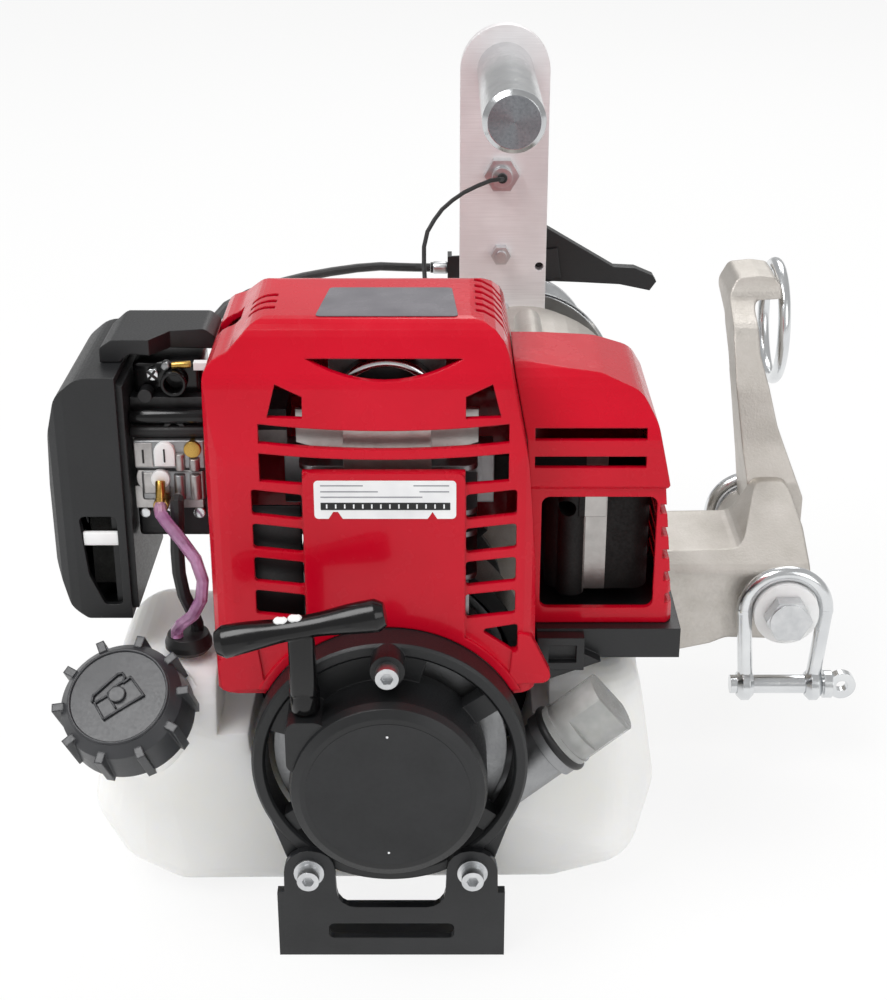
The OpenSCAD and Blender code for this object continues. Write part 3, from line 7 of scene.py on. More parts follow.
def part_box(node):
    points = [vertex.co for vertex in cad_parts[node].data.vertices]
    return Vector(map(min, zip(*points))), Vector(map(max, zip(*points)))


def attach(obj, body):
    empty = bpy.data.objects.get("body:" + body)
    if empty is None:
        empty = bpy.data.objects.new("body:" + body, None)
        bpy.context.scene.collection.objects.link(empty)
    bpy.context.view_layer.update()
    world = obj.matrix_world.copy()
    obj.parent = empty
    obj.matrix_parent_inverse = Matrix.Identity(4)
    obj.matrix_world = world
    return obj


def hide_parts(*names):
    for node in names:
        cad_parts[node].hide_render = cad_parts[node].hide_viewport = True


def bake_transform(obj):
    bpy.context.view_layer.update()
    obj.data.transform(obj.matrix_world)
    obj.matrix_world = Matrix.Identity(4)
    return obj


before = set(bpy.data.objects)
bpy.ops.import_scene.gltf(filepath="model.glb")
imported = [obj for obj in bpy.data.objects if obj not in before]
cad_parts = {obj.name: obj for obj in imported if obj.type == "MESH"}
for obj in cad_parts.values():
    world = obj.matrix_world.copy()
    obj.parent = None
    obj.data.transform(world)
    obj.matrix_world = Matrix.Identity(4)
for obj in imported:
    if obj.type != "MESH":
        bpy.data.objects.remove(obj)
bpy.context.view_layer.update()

print("stage 1: frame loaded,", len(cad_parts), "CAD nodes")

# camera
photoView = {"place": (0.0191, -0.5388, 0.4180), "pitch": 66.0, "lens": 63.0, "sensor": 36.0}
camData = bpy.data.cameras.new("photoCamera")
camData.sensor_fit = "VERTICAL"
camData.sensor_height = photoView["sensor"]
camData.lens = photoView["lens"]
camData.clip_start = 0.01
camera = bpy.data.objects.new("photoCamera", camData)
camera.location = photoView["place"]
camera.rotation_euler = (math.radians(photoView["pitch"]), 0, 0)
bpy.context.scene.collection.objects.link(camera)
bpy.context.scene.camera = camera
bpy.context.scene.view_settings.view_transform = "Standard"


def toLinear(hexColour):
    # sRGB hex to the linear colour that a socket takes
    parts = [int(hexColour[i:i + 2], 16) / 255 for i in (1, 3, 5)]
    return tuple(c / 12.92 if c <= 0.04045 else ((c + 0.055) / 1.055) ** 2.4 for c in parts) + (1.0,)


def addNode(tree, kind, settings=None, links=None):
    # settings name a property or an input socket; links are socket: (node, output)
    node = tree.nodes.new(kind)
    for name, value in (settings or {}).items():
        if isinstance(name, str) and hasattr(node, name):
            setattr(node, name, value)
        else:
            node.inputs[name].default_value = value
    for socket, source in (links or {}).items():
        tree.links.new(source[0].outputs[source[1]], node.inputs[socket])
    return node


def newMaterial(name, shader):
    # a principled shader with plain values on its own sockets
    mat = bpy.data.materials.new(name)
    mat.use_nodes = True
    tree = mat.node_tree
    bsdf = tree.nodes["Principled BSDF"]
    for socket, value in shader.items():
        bsdf.inputs[socket].default_value = value
    return mat, tree, bsdf


def objectPoint(tree):
    return addNode(tree, "ShaderNodeTexCoord"), "Object"


def grain(tree, sizeMm, detail=2.0, rough=0.5, stretch=None):
    # noise whose lumps are sizeMm across, in the piece's own metres
    point = objectPoint(tree)
    if stretch:
        point = (addNode(tree, "ShaderNodeMapping", {"Scale": stretch}, {"Vector": point}), "Vector")
    return addNode(tree, "ShaderNodeTexNoise", {"Scale": 1000.0 / sizeMm, "Detail": detail, "Roughness": rough},
                   {"Vector": point})


def spread(tree, source, low, high, start=0.3, end=0.7):
    limits = {"From Min": start, "From Max": end, "To Min": low, "To Max": high}
    return addNode(tree, "ShaderNodeMapRange", limits, {"Value": source})


def tint(tree, factor, darkHex, lightHex):
    mix = addNode(tree, "ShaderNodeMix", {"data_type": "RGBA"}, {0: factor})
    mix.inputs[6].default_value = toLinear(darkHex)
    mix.inputs[7].default_value = toLinear(lightHex)
    return mix, 2


def bumped(tree, bsdf, source, depthMm, strength=1.0, edgeMm=0.0):
    # depth in millimetres; edgeMm rounds the look of sharp edges as a mould or a file does
    bump = addNode(tree, "ShaderNodeBump", {"Strength": strength, "Distance": depthMm / 1000.0},
                   {"Height": source})
    if edgeMm:
        edge = addNode(tree, "ShaderNodeBevel", {"samples": 6, "Radius": edgeMm / 1000.0})
        tree.links.new(edge.outputs["Normal"], bump.inputs["Normal"])
    tree.links.new(bump.outputs["Normal"], bsdf.inputs["Normal"])
    return bump


def finish(name, look):
    # look: base shader values, two tones over a lump size, roughness range, bump depth, edge radius
    mat, tree, bsdf = newMaterial(name, look["shader"])
    tones = grain(tree, look["toneMm"], 3.0, 0.55, look.get("stretch"))
    tree.links.new(tint(tree, (spread(tree, (tones, "Fac"), 0, 1), "Result"), *look["tones"])[0].outputs[2],
                   bsdf.inputs["Base Color"])
    fine = grain(tree, look["grainMm"], 2.0, 0.6, look.get("stretch"))
    rough = spread(tree, (fine, "Fac"), *look["rough"])
    tree.links.new(rough.outputs["Result"], bsdf.inputs["Roughness"])
    bumped(tree, bsdf, (fine, "Fac"), look["bumpMm"], 1.0, look.get("edgeMm", 0.0))
    return mat


looks = {
    # injection moulded ABS with a thin clear coat: deep red gloss, faint flow ripple
    "redGlossAbs": {"shader": {"IOR": 1.45, "Specular IOR Level": 0.2, "Coat Weight": 0.22,
                               "Coat Roughness": 0.05},
                    "toneMm": 60, "tones": ("#BC001D", "#CA0525"), "grainMm": 9, "rough": (0.22, 0.3),
                    "bumpMm": 0.02, "edgeMm": 0.9},
    # moulded black ABS with a satin spark-eroded grain
    "blackMouldedAbs": {"shader": {"IOR": 1.5}, "toneMm": 40, "tones": ("#141516", "#1E1F21"), "grainMm": 0.7,
                        "rough": (0.34, 0.5), "bumpMm": 0.03, "edgeMm": 0.6},
    # moulded polypropylene cap: dark grey with an even satin sheen
    "satinPolypropylene": {"shader": {"IOR": 1.49}, "toneMm": 30, "tones": ("#2B2C2F", "#36373A"),
                           "grainMm": 1.2, "rough": (0.32, 0.4), "bumpMm": 0.012, "edgeMm": 0.8},
    # black nylon, polished tool: a wet-looking gloss
    "blackGlossNylon": {"shader": {"IOR": 1.52, "Specular IOR Level": 0.3, "Coat Weight": 0.15,
                                   "Coat Roughness": 0.06},
                        "toneMm": 30, "tones": ("#080809", "#101011"), "grainMm": 3, "rough": (0.14, 0.24),
                        "bumpMm": 0.012, "edgeMm": 0.8},
    # black powder coat on pressed steel: fine orange peel
    "blackPowderCoat": {"shader": {"IOR": 1.5}, "toneMm": 25, "tones": ("#17181A", "#222325"), "grainMm": 1.4,
                        "rough": (0.3, 0.42), "bumpMm": 0.06, "edgeMm": 0.5},
    # sand cast aluminium, bead blasted: pale grey, dry, slightly speckled
    "sandCastAluminium": {"shader": {"Metallic": 1.0}, "toneMm": 14, "tones": ("#C2BDB6", "#D0CBC5"),
                          "grainMm": 1.1, "rough": (0.42, 0.58), "bumpMm": 0.13, "edgeMm": 1.4},
    # pressure die cast aluminium, as cast: darker and smoother
    "dieCastAluminium": {"shader": {"Metallic": 1.0}, "toneMm": 18, "tones": ("#8F9092", "#A7A8A9"),
                         "grainMm": 0.9, "rough": (0.36, 0.5), "bumpMm": 0.05, "edgeMm": 0.6},
    # stainless steel, tumbled and polished
    "polishedStainless": {"shader": {"Metallic": 1.0}, "toneMm": 20, "tones": ("#D6D8DA", "#E6E8E9"),
                          "grainMm": 2.5, "rough": (0.16, 0.27), "bumpMm": 0.01, "edgeMm": 0.4},
    # zinc plated steel, clear passivated: cool grey with a soft sparkle
    "zincPlatedSteel": {"shader": {"Metallic": 1.0}, "toneMm": 6, "tones": ("#C6C8CA", "#DEDFE0"),
                        "grainMm": 0.6, "rough": (0.28, 0.42), "bumpMm": 0.012, "edgeMm": 0.3},
    # ground tool steel with a film of oil
    "groundSteel": {"shader": {"Metallic": 1.0}, "toneMm": 12, "tones": ("#8E8F90", "#A3A4A5"), "grainMm": 0.5,
                    "rough": (0.26, 0.4), "bumpMm": 0.01, "edgeMm": 0.2},
    # acetal washers: dense, waxy white
    "whiteAcetal": {"shader": {"IOR": 1.48, "Subsurface Weight": 0.25,
                               "Subsurface Radius": (0.004, 0.004, 0.004)},
                    "toneMm": 12, "tones": ("#F0F1F1", "#F8F8F8"), "grainMm": 1.2, "rough": (0.36, 0.46),
                    "bumpMm": 0.015, "edgeMm": 0.6},
    # nitrile rubber
    "blackRubber": {"shader": {"IOR": 1.5, "Sheen Weight": 0.1}, "toneMm": 10, "tones": ("#101011", "#1A1A1B"),
                    "grainMm": 0.5, "rough": (0.42, 0.56), "bumpMm": 0.02, "edgeMm": 0.4},
    # free machining brass
    "turnedBrass": {"shader": {"Metallic": 1.0}, "toneMm": 4, "tones": ("#B08A45", "#C9A55C"), "grainMm": 0.4,
                    "rough": (0.24, 0.36), "bumpMm": 0.01, "edgeMm": 0.2},
    # open cell foam: dark, matt, pitted
    "filterFoam": {"shader": {"IOR": 1.4}, "toneMm": 5, "tones": ("#2B2B2A", "#3C3C3A"), "grainMm": 0.9,
                   "rough": (0.8, 0.95), "bumpMm": 0.5},
    # turned aluminium disc
    "turnedAluminium": {"shader": {"Metallic": 1.0}, "toneMm": 12, "tones": ("#C3C5C7", "#D5D7D8"),
                        "grainMm": 1.8, "rough": (0.14, 0.26), "bumpMm": 0.01, "edgeMm": 0.6},
}
finishes = {name: finish(name, look) for name, look in looks.items()}


def brushedPlate():
    # 6 mm aluminium plate, brushed across its width: fine lines and a soft stretched highlight
    mat, tree, bsdf = newMaterial("brushedAluminium", {"Metallic": 0.6, "Anisotropic": 0.3})
    lines = grain(tree, 1.0, 3.0, 0.7, (0.035, 1.0, 1.6))
    clouds = grain(tree, 22, 3.0, 0.5)
    mixed = addNode(tree, "ShaderNodeMath", {"operation": "MULTIPLY"}, {0: (lines, "Fac"), 1: (clouds, "Fac")})
    tone = tint(tree, (spread(tree, (mixed, "Value"), 0, 1, 0.12, 0.42), "Result"), "#E9E5E6", "#FAF7F8")
    tree.links.new(tone[0].outputs[2], bsdf.inputs["Base Color"])
    tree.links.new(spread(tree, (lines, "Fac"), 0.42, 0.56).outputs["Result"], bsdf.inputs["Roughness"])
    bumped(tree, bsdf, (lines, "Fac"), 0.02, 1.0, 0.5)
    return mat


def milkyTank():
    # rotational-look HDPE fuel tank, 3 mm wall: milky, light goes in and spreads
    mat, tree, bsdf = newMaterial("milkyPolyethylene", {
        "IOR": 1.5, "Subsurface Weight": 0.7, "Subsurface Radius": (1.0, 0.95, 0.85),
        "Subsurface Scale": 0.012, "Coat Weight": 0.15, "Coat Roughness": 0.2})
    clouds = grain(tree, 55, 2.0, 0.5)
    tone = tint(tree, (spread(tree, (clouds, "Fac"), 0, 1), "Result"), "#F8F7F2", "#FFFEFB")
    tree.links.new(tone[0].outputs[2], bsdf.inputs["Base Color"])
    fine = grain(tree, 2.2, 2.0, 0.6)
    tree.links.new(spread(tree, (fine, "Fac"), 0.3, 0.4).outputs["Result"], bsdf.inputs["Roughness"])
    bumped(tree, bsdf, (fine, "Fac"), 0.03, 1.0, 1.0)
    return mat


def clearPlastic(name, deepHex, paleHex, transmission, rough):
    # clear vinyl or nylon that still takes some of its own colour
    mat, tree, bsdf = newMaterial(name, {"IOR": 1.45, "Transmission Weight": transmission})
    clouds = grain(tree, 6, 2.0, 0.5)
    tone = tint(tree, (spread(tree, (clouds, "Fac"), 0, 1), "Result"), deepHex, paleHex)
    tree.links.new(tone[0].outputs[2], bsdf.inputs["Base Color"])
    fine = grain(tree, 1.0)
    tree.links.new(spread(tree, (fine, "Fac"), rough - 0.04, rough + 0.06).outputs["Result"],
                   bsdf.inputs["Roughness"])
    bumped(tree, bsdf, (fine, "Fac"), 0.02, 1.0, 0.3)
    return mat


finishes["brushedAluminium"] = brushedPlate()
finishes["milkyPolyethylene"] = milkyTank()
finishes["smokedNylon"] = clearPlastic("smokedNylon", "#C2C3C2", "#D9DAD8", 0.6, 0.2)
finishes["purpleVinyl"] = clearPlastic("purpleVinyl", "#B478A8", "#DCAFD3", 0.55, 0.16)


def splitFinish(name, tests, outside, inside):
    # two surfaces on one node, told apart by where they are: each test is axis, comparison, edge in mm
    mat, tree, bsdf = newMaterial(name, {"IOR": 1.5})
    axes = addNode(tree, "ShaderNodeSeparateXYZ", None, {"Vector": objectPoint(tree)})
    mask = None
    for axis, kind, edge in tests:
        step = addNode(tree, "ShaderNodeMath", {"operation": kind, 1: edge / 1000}, {0: (axes, axis)})
        if mask:
            step = addNode(tree, "ShaderNodeMath", {"operation": "MULTIPLY"},
                           {0: (mask, "Value"), 1: (step, "Value")})
        mask = step
    cloud = grain(tree, 7, 3.0, 0.55)
    level = (spread(tree, (cloud, "Fac"), 0, 1), "Result")
    fine = grain(tree, 0.9)
    tones = [tint(tree, level, *side["tones"]) for side in (outside, inside)]
    colour = addNode(tree, "ShaderNodeMix", {"data_type": "RGBA"},
                     {0: (mask, "Value"), 6: tones[0], 7: tones[1]})
    tree.links.new(colour.outputs[2], bsdf.inputs["Base Color"])
    levels = [(spread(tree, (fine, "Fac"), *side["rough"]), "Result") for side in (outside, inside)]
    rough = addNode(tree, "ShaderNodeMix", None, {0: (mask, "Value"), 2: levels[0], 3: levels[1]})
    tree.links.new(rough.outputs[0], bsdf.inputs["Roughness"])
    metal = addNode(tree, "ShaderNodeMapRange", {"To Min": outside["metal"], "To Max": inside["metal"]},
                    {"Value": (mask, "Value")})
    tree.links.new(metal.outputs["Result"], bsdf.inputs["Metallic"])
    bumped(tree, bsdf, (fine, "Fac"), 0.04, 1.0, 0.4)
    return mat


surfaces = {
    "black": {"tones": ("#0E0E0F", "#19191B"), "rough": (0.3, 0.45), "metal": 0.0},
    "soot": {"tones": ("#0C0B0B", "#1B1918"), "rough": (0.55, 0.75), "metal": 0.3},
    "cast": {"tones": ("#A6A3A2", "#C8C5C3"), "rough": (0.34, 0.48), "metal": 0.85},
    "bright": {"tones": ("#A9A6A3", "#BDBAB7"), "rough": (0.3, 0.36), "metal": 0.9},
}
castingTop = [("Z", "GREATER_THAN", 186)]
mufflerBand = [("X", "GREATER_THAN", 70.2), ("X", "LESS_THAN", 78.6), ("Y", "LESS_THAN", 42)]
shieldFront = [("Y", "LESS_THAN", 14.55), ("Z", "LESS_THAN", 207)]
finishes["carburettorCasting"] = splitFinish("carburettorCasting", castingTop, surfaces["cast"],
                                             surfaces["black"])
finishes["sootyMuffler"] = splitFinish("sootyMuffler", mufflerBand, surfaces["soot"], surfaces["bright"])
finishes["fanShield"] = splitFinish("fanShield", shieldFront, surfaces["black"], surfaces["bright"])

nodeFinish = {
    "shroud": "redGlossAbs", "muffler_cover": "redGlossAbs",
    "recoil_cover": "blackMouldedAbs", "fuel_cap": "satinPolypropylene", "air_cleaner_cover": "blackMouldedAbs",
    "air_cleaner_case": "blackMouldedAbs", "choke_guard": "blackMouldedAbs", "choke_lever": "blackMouldedAbs",
    "muffler_guard": "blackMouldedAbs", "throttle_lever": "blackMouldedAbs", "timing_cover": "fanShield",
    "fan_housing": "blackMouldedAbs", "recoil_reel": "blackGlossNylon", "starter_grip": "blackGlossNylon",
    "foot_bracket": "blackPowderCoat", "plug_boot": "blackRubber", "tank_grommet": "blackRubber",
    "return_hose": "blackRubber", "stop_wire": "blackRubber", "throttle_cable": "blackRubber",
    "fuel_hose": "purpleVinyl", "cable_tie": "whiteAcetal", "nylon_thimbles": "whiteAcetal",
    "starter_rope": "whiteAcetal", "fuel_tank": "milkyPolyethylene", "oil_cap": "smokedNylon",
    "housing_front": "sandCastAluminium", "housing_rear": "sandCastAluminium",
    "crankcase": "dieCastAluminium", "cylinder": "dieCastAluminium", "oil_neck": "dieCastAluminium",
    "carburettor": "carburettorCasting", "capstan_drum": "turnedAluminium", "flywheel": "dieCastAluminium",
    "handle_plate": "brushedAluminium", "handle_bar": "turnedAluminium",
    "guide_ring": "polishedStainless", "front_shackle": "polishedStainless",
    "rear_shackle": "polishedStainless",
    "front_shackle_pin": "polishedStainless", "rear_shackle_pin": "polishedStainless",
    "anchor_bolt": "zincPlatedSteel", "plate_bolts": "zincPlatedSteel", "foot_bolts": "zincPlatedSteel",
    "boss_bolt": "zincPlatedSteel", "housing_screws": "zincPlatedSteel", "drum_nut": "zincPlatedSteel",
    "muffler": "sootyMuffler", "stop_switch": "zincPlatedSteel",
    "stop_button": "blackRubber", "throttle_bracket": "blackPowderCoat", "air_filter": "filterFoam",
}
for name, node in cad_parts.items():
    mat = finishes[nodeFinish.get(name, "groundSteel")]
    node.data.materials.clear()
    node.data.materials.append(mat)
print("stage 2: finishes on", len(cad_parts), "nodes; default steel on",
      [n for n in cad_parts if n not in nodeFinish])

# modelling helpers
def begin(name, adder, **settings):
    # one new primitive, alone in the selection
    bpy.ops.object.select_all(action="DESELECT")
    adder(**settings)
    piece = bpy.context.object
    piece.name = name
    return piece


def editMode(piece, pick=None):
    # enters edit mode with only the vertices that pick accepts selected
    bpy.ops.object.mode_set(mode="EDIT")
    bpy.ops.mesh.select_mode(type="VERT")
    bpy.ops.mesh.select_all(action="DESELECT")
    if pick:
        mesh = bmesh.from_edit_mesh(piece.data)
        for v in mesh.verts:
            v.select = bool(pick(v.co))
        mesh.select_flush(True)
        bmesh.update_edit_mesh(piece.data)


def objectMode():
    bpy.ops.object.mode_set(mode="OBJECT")


def applyModifier(piece, kind, **settings):
    mod = piece.modifiers.new(kind, kind)
    for key, value in settings.items():
        setattr(mod, key, value)
    bpy.context.view_layer.objects.active = piece
    bpy.ops.object.modifier_apply(modifier=mod.name)


def settle(piece, look, body="frame", place=None, smooth=35):
    # place is a matrix that carries the piece from its own workbench to the object
    bpy.ops.object.select_all(action="DESELECT")
    piece.select_set(True)
    bpy.context.view_layer.objects.active = piece
    bpy.ops.object.transform_apply(location=True, rotation=True, scale=True)
    if place is not None:
        piece.matrix_world = place
        bpy.ops.object.transform_apply(location=True, rotation=True, scale=True)
    bpy.ops.object.shade_smooth_by_angle(angle=math.radians(smooth))
    piece.data.materials.clear()
    piece.data.materials.append(finishes[look] if isinstance(look, str) else look)
    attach(piece, body)
    return piece


def mm(*values):
    return tuple(v / 1000 for v in values)


def rodPiece(name, start, end, radius, sides=20, rim=0.3):
    # a turned rod between two points, its ends chamfered
    a, b = Vector(start), Vector(end)
    piece = begin(name, bpy.ops.mesh.primitive_cylinder_add, vertices=sides, radius=radius / 1000,
                  depth=(b - a).length / 1000)
    if rim:
        applyModifier(piece, "BEVEL", width=rim / 1000, segments=2, limit_method="ANGLE",
                      angle_limit=math.radians(50))
    turn = (b - a).to_track_quat("Z", "Y").to_matrix().to_4x4()
    piece.matrix_world = Matrix.Translation((a + b) / 2000) @ turn
    return piece


def blockPiece(name, low, high, rim=0.5, segments=2):
    # a moulded block between two corners, its edges rounded
    low, high = Vector(low), Vector(high)
    piece = begin(name, bpy.ops.mesh.primitive_cube_add, size=1.0)
    piece.scale = (high - low) / 1000
    piece.location = (high + low) / 2000
    bpy.ops.object.transform_apply(location=True, rotation=True, scale=True)
    applyModifier(piece, "BEVEL", width=rim / 1000, segments=segments, limit_method="ANGLE")
    return piece


def ringPiece(name, radius, tube, steps=72):
    # a round section spun once about Z, closed and merged
    piece = begin(name, bpy.ops.mesh.primitive_circle_add, vertices=12, radius=tube / 1000,
                  location=mm(radius, 0, 0), rotation=(math.radians(90), 0, 0))
    bpy.ops.object.transform_apply(location=True, rotation=True, scale=True)
    editMode(piece, lambda co: True)
    bpy.ops.mesh.spin(steps=steps, angle=2 * math.pi, center=(0, 0, 0), axis=(0, 0, 1))
    bpy.ops.mesh.select_all(action="SELECT")
    bpy.ops.mesh.remove_doubles(threshold=1e-6)
    bpy.ops.mesh.normals_make_consistent(inside=False)
    objectMode()
    return piece


def joinPieces(name, pieces):
    bpy.ops.object.select_all(action="DESELECT")
    for piece in pieces:
        piece.select_set(True)
    bpy.context.view_layer.objects.active = pieces[0]
    bpy.ops.object.transform_apply(location=True, rotation=True, scale=True)
    bpy.ops.object.join()
    pieces[0].name = name
    return pieces[0]


# starter grip and rope
starter = {"y": -19.0, "gripZ": 143.0, "gripY": -26.0, "lean": 11.0, "length": 57.5, "radius": 5.7,
           "cuts": (-24, -17, -9, -3, 3, 9, 17, 24), "stem": (8.6, 8.0, 27), "stemZ": 128, "stemLean": 2.6,
           "collar": (107.6, 117, 5.2), "knots": (-6.4, -1.6), "knotRadius": 2.2,
           "rope": 1.6, "ropeFoot": 82.0, "ropeTop": 119.0, "stretch": (84, 112)}
starter["x"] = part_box("starter_rope")[0][0] * 1000 + starter["rope"]
gripBar = begin("gripMoulding", bpy.ops.mesh.primitive_cylinder_add, vertices=28,
                radius=starter["radius"] / 1000, depth=starter["length"] / 1000,
                rotation=(0, math.radians(90), 0))
bpy.ops.object.transform_apply(rotation=True)
for cut in starter["cuts"]:
    editMode(gripBar, lambda co: True)
    bpy.ops.mesh.bisect(plane_co=mm(cut, 0, 0), plane_no=(1, 0, 0))
    objectMode()
editMode(gripBar, lambda co: abs(co.x) < 0.0105)  # the waist that two fingers close on
bpy.ops.transform.resize(value=(1, 0.84, 0.8))
objectMode()
editMode(gripBar, lambda co: abs(co.x) < 0.004)
bpy.ops.transform.resize(value=(1, 0.97, 0.93))
objectMode()
editMode(gripBar, lambda co: co.z < -0.001 and abs(co.x) < 0.018)
bpy.ops.transform.translate(value=mm(0, 0, 0.9))
objectMode()
editMode(gripBar, lambda co: abs(co.x) > 0.0286)  # the ends draw in
bpy.ops.transform.resize(value=(1, 0.7, 0.7))
objectMode()
editMode(gripBar, lambda co: 0.0235 < abs(co.x) < 0.0245)
bpy.ops.transform.resize(value=(1.08, 1, 1))
objectMode()
applyModifier(gripBar, "BEVEL", width=0.0012, segments=3, limit_method="ANGLE", angle_limit=math.radians(30))
applyModifier(gripBar, "SUBSURF", levels=1, render_levels=1)
gripBar.matrix_world = (Matrix.Translation(mm(starter["x"], starter["gripY"], starter["gripZ"]))
                        @ Matrix.Rotation(math.radians(-starter["lean"]), 4, "Y"))
stem = begin("gripStem", bpy.ops.mesh.primitive_cube_add, size=1.0)
stem.scale = mm(*starter["stem"])
stem.location = mm(starter["x"], starter["y"] - 3.4, starter["stemZ"])
bpy.ops.object.transform_apply(location=True, rotation=True, scale=True)
editMode(stem, lambda co: co.z > 0.12)
bpy.ops.transform.translate(value=mm(0, -starter["stemLean"], 0))
objectMode()
editMode(stem, lambda co: co.z < 0.12)
bpy.ops.transform.resize(value=(1.08, 1.0, 1))
bpy.ops.transform.translate(value=mm(0, starter["stemLean"], 0))
objectMode()
applyModifier(stem, "BEVEL", width=0.0016, segments=3, limit_method="ANGLE")
low, high, radius = starter["collar"]
collar = rodPiece("gripCollar", (starter["x"], starter["y"], low), (starter["x"], starter["y"], high),
                  radius, 24, 1.2)
grip = joinPieces("gripMoulding", [gripBar, stem, collar])
settle(grip, "blackGlossNylon", "starter_grip", smooth=50)
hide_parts("starter_grip")
for i, side in enumerate(starter["knots"]):
    knot = begin("ropeKnot%d" % i, bpy.ops.mesh.primitive_uv_sphere_add, segments=16, ring_count=10,
                 radius=starter["knotRadius"] / 1000)
    bpy.ops.object.transform_apply(location=True)
    editMode(knot, lambda co: abs(co.x) < 0.0007)
    bpy.ops.transform.resize(value=(1, 0.84, 0.84))
    objectMode()
    knot.scale = (1.15, 0.9, 0.72)
    knot.location = mm(starter["x"] + side, starter["gripY"] - 0.4, starter["gripZ"] + 4.2 + side * 0.19)
    settle(knot, "whiteAcetal", "starter_grip", smooth=60)


def braidedRope():
    # polyester starter cord, 16 carriers: pale, diagonal braid about 1 mm apart
    mat, tree, bsdf = newMaterial("braidedPolyester", {"Sheen Weight": 0.3, "IOR": 1.5})
    point = objectPoint(tree)
    waves = []
    for slant in (0.7, -0.7):
        turned = addNode(tree, "ShaderNodeMapping", {"Rotation": (0.0, slant, 0.0), "Scale": (1000, 1000, 1000)},
                         {"Vector": point})
        waves.append(addNode(tree, "ShaderNodeTexWave", {"Scale": 0.5, "bands_direction": "Z"},
                             {"Vector": (turned, "Vector")}))
    weave = addNode(tree, "ShaderNodeMath", {"operation": "MAXIMUM"},
                    {0: (waves[0], "Fac"), 1: (waves[1], "Fac")})
    tree.links.new(tint(tree, (weave, "Value"), "#9FA3A6", "#E4E4DF")[0].outputs[2], bsdf.inputs["Base Color"])
    tree.links.new(spread(tree, (weave, "Value"), 0.8, 0.6).outputs["Result"], bsdf.inputs["Roughness"])
    bumped(tree, bsdf, (weave, "Value"), 0.2)
    return mat


finishes["braidedPolyester"] = braidedRope()
rope = begin("starterCord", bpy.ops.mesh.primitive_cylinder_add, vertices=12, radius=starter["rope"] / 1000,
             depth=(starter["ropeTop"] - starter["ropeFoot"]) / 1000,
             location=mm(starter["x"], starter["y"], (starter["ropeTop"] + starter["ropeFoot"]) / 2))
bpy.ops.object.transform_apply(location=True)
for i in range(1, 9):
    editMode(rope, lambda co: True)
    height = starter["ropeFoot"] + i * (starter["ropeTop"] - starter["ropeFoot"]) / 9
    bpy.ops.mesh.bisect(plane_co=mm(0, 0, height), plane_no=(0, 0, 1))
    objectMode()
bpy.ops.object.shade_smooth_by_angle(angle=math.radians(50))
rope.data.materials.append(finishes["braidedPolyester"])
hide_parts("starter_rope")
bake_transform(rope)
print("stage 3: starter grip, knots and rope")

# plain label, panel and disc
def plainFilm(name, deep, pale, rough, coat=0.0):
    # printed vinyl or polycarbonate film, flat with a little orange peel
    mat, tree, bsdf = newMaterial(name, {"IOR": 1.5, "Coat Weight": coat, "Coat Roughness": 0.08})
    cloud = grain(tree, 12, 2.0, 0.5)
    tree.links.new(tint(tree, (spread(tree, (cloud, "Fac"), 0, 1), "Result"), deep, pale)[0].outputs[2],
                   bsdf.inputs["Base Color"])
    fine = grain(tree, 1.6)
    tree.links.new(spread(tree, (fine, "Fac"), rough - 0.04, rough + 0.04).outputs["Result"],
                   bsdf.inputs["Roughness"])
    bumped(tree, bsdf, (fine, "Fac"), 0.01)
    return mat


finishes["whiteVinylFilm"] = plainFilm("whiteVinylFilm", "#E6E6E8", "#F3F3F4", 0.4)
finishes["blackPrint"] = plainFilm("blackPrint", "#111113", "#1A1A1C", 0.42)
finishes["greyPrint"] = plainFilm("greyPrint", "#8C8D92", "#A0A1A6", 0.45)
finishes["smokedPolycarbonate"] = plainFilm("smokedPolycarbonate", "#55525A", "#6A676E", 0.16, 0.5)
finishes["satinBlackFilm"] = plainFilm("satinBlackFilm", "#17181A", "#1F2022", 0.5)


def sheetPiece(name, corners, thick, look, body="frame", rim=0.8):
    # a thin plate with rounded corners, from corners in millimetres in order round it
    piece = begin(name, bpy.ops.mesh.primitive_plane_add, size=1.0)
    order = [0, 1, 3, 2]
    for vertex, corner in zip([piece.data.vertices[i] for i in order], corners):
        vertex.co = mm(*corner)
    editMode(piece, lambda co: True)
    bpy.ops.mesh.bevel(offset=rim / 1000, segments=4, affect="VERTICES")
    bpy.ops.mesh.select_all(action="SELECT")
    bpy.ops.mesh.normals_make_consistent(inside=False)
    objectMode()
    applyModifier(piece, "SOLIDIFY", thickness=thick / 1000, offset=0)
    return settle(piece, look, body)


label = {"x0": -24.6, "x1": 23.4, "z0": 171.0, "z1": 185.0, "y": 0.35, "notches": (-17.4, 15.6), "corner": 1.4,
         "band": (-22.4, 21.4, 174.3, 177.0), "marks": 14, "firstMark": -20.6, "markStep": 3.05, "markWide": 0.5,
         "rules": ((-22.4, -8, 183.0), (9, 21, 183.0), (-22.4, -3, 180.8), (-22.4, 12, 178.8), (11, 21, 180.8)),
         "ruleHigh": 0.45}
paper = begin("ratingLabel", bpy.ops.mesh.primitive_grid_add, x_subdivisions=30, y_subdivisions=2, size=1.0)
paper.scale = mm(label["x1"] - label["x0"], label["z1"] - label["z0"], 1)
paper.rotation_euler = (math.radians(90), 0, 0)
paper.location = mm((label["x0"] + label["x1"]) / 2, label["y"], (label["z0"] + label["z1"]) / 2)
bpy.ops.object.transform_apply(location=True, rotation=True, scale=True)
for notch in label["notches"]:
    editMode(paper, lambda co: abs(co.x * 1000 - notch) < 1.1 and co.z * 1000 < label["z0"] + 1)
    bpy.ops.transform.translate(value=mm(0, 0, 2.6))
    objectMode()
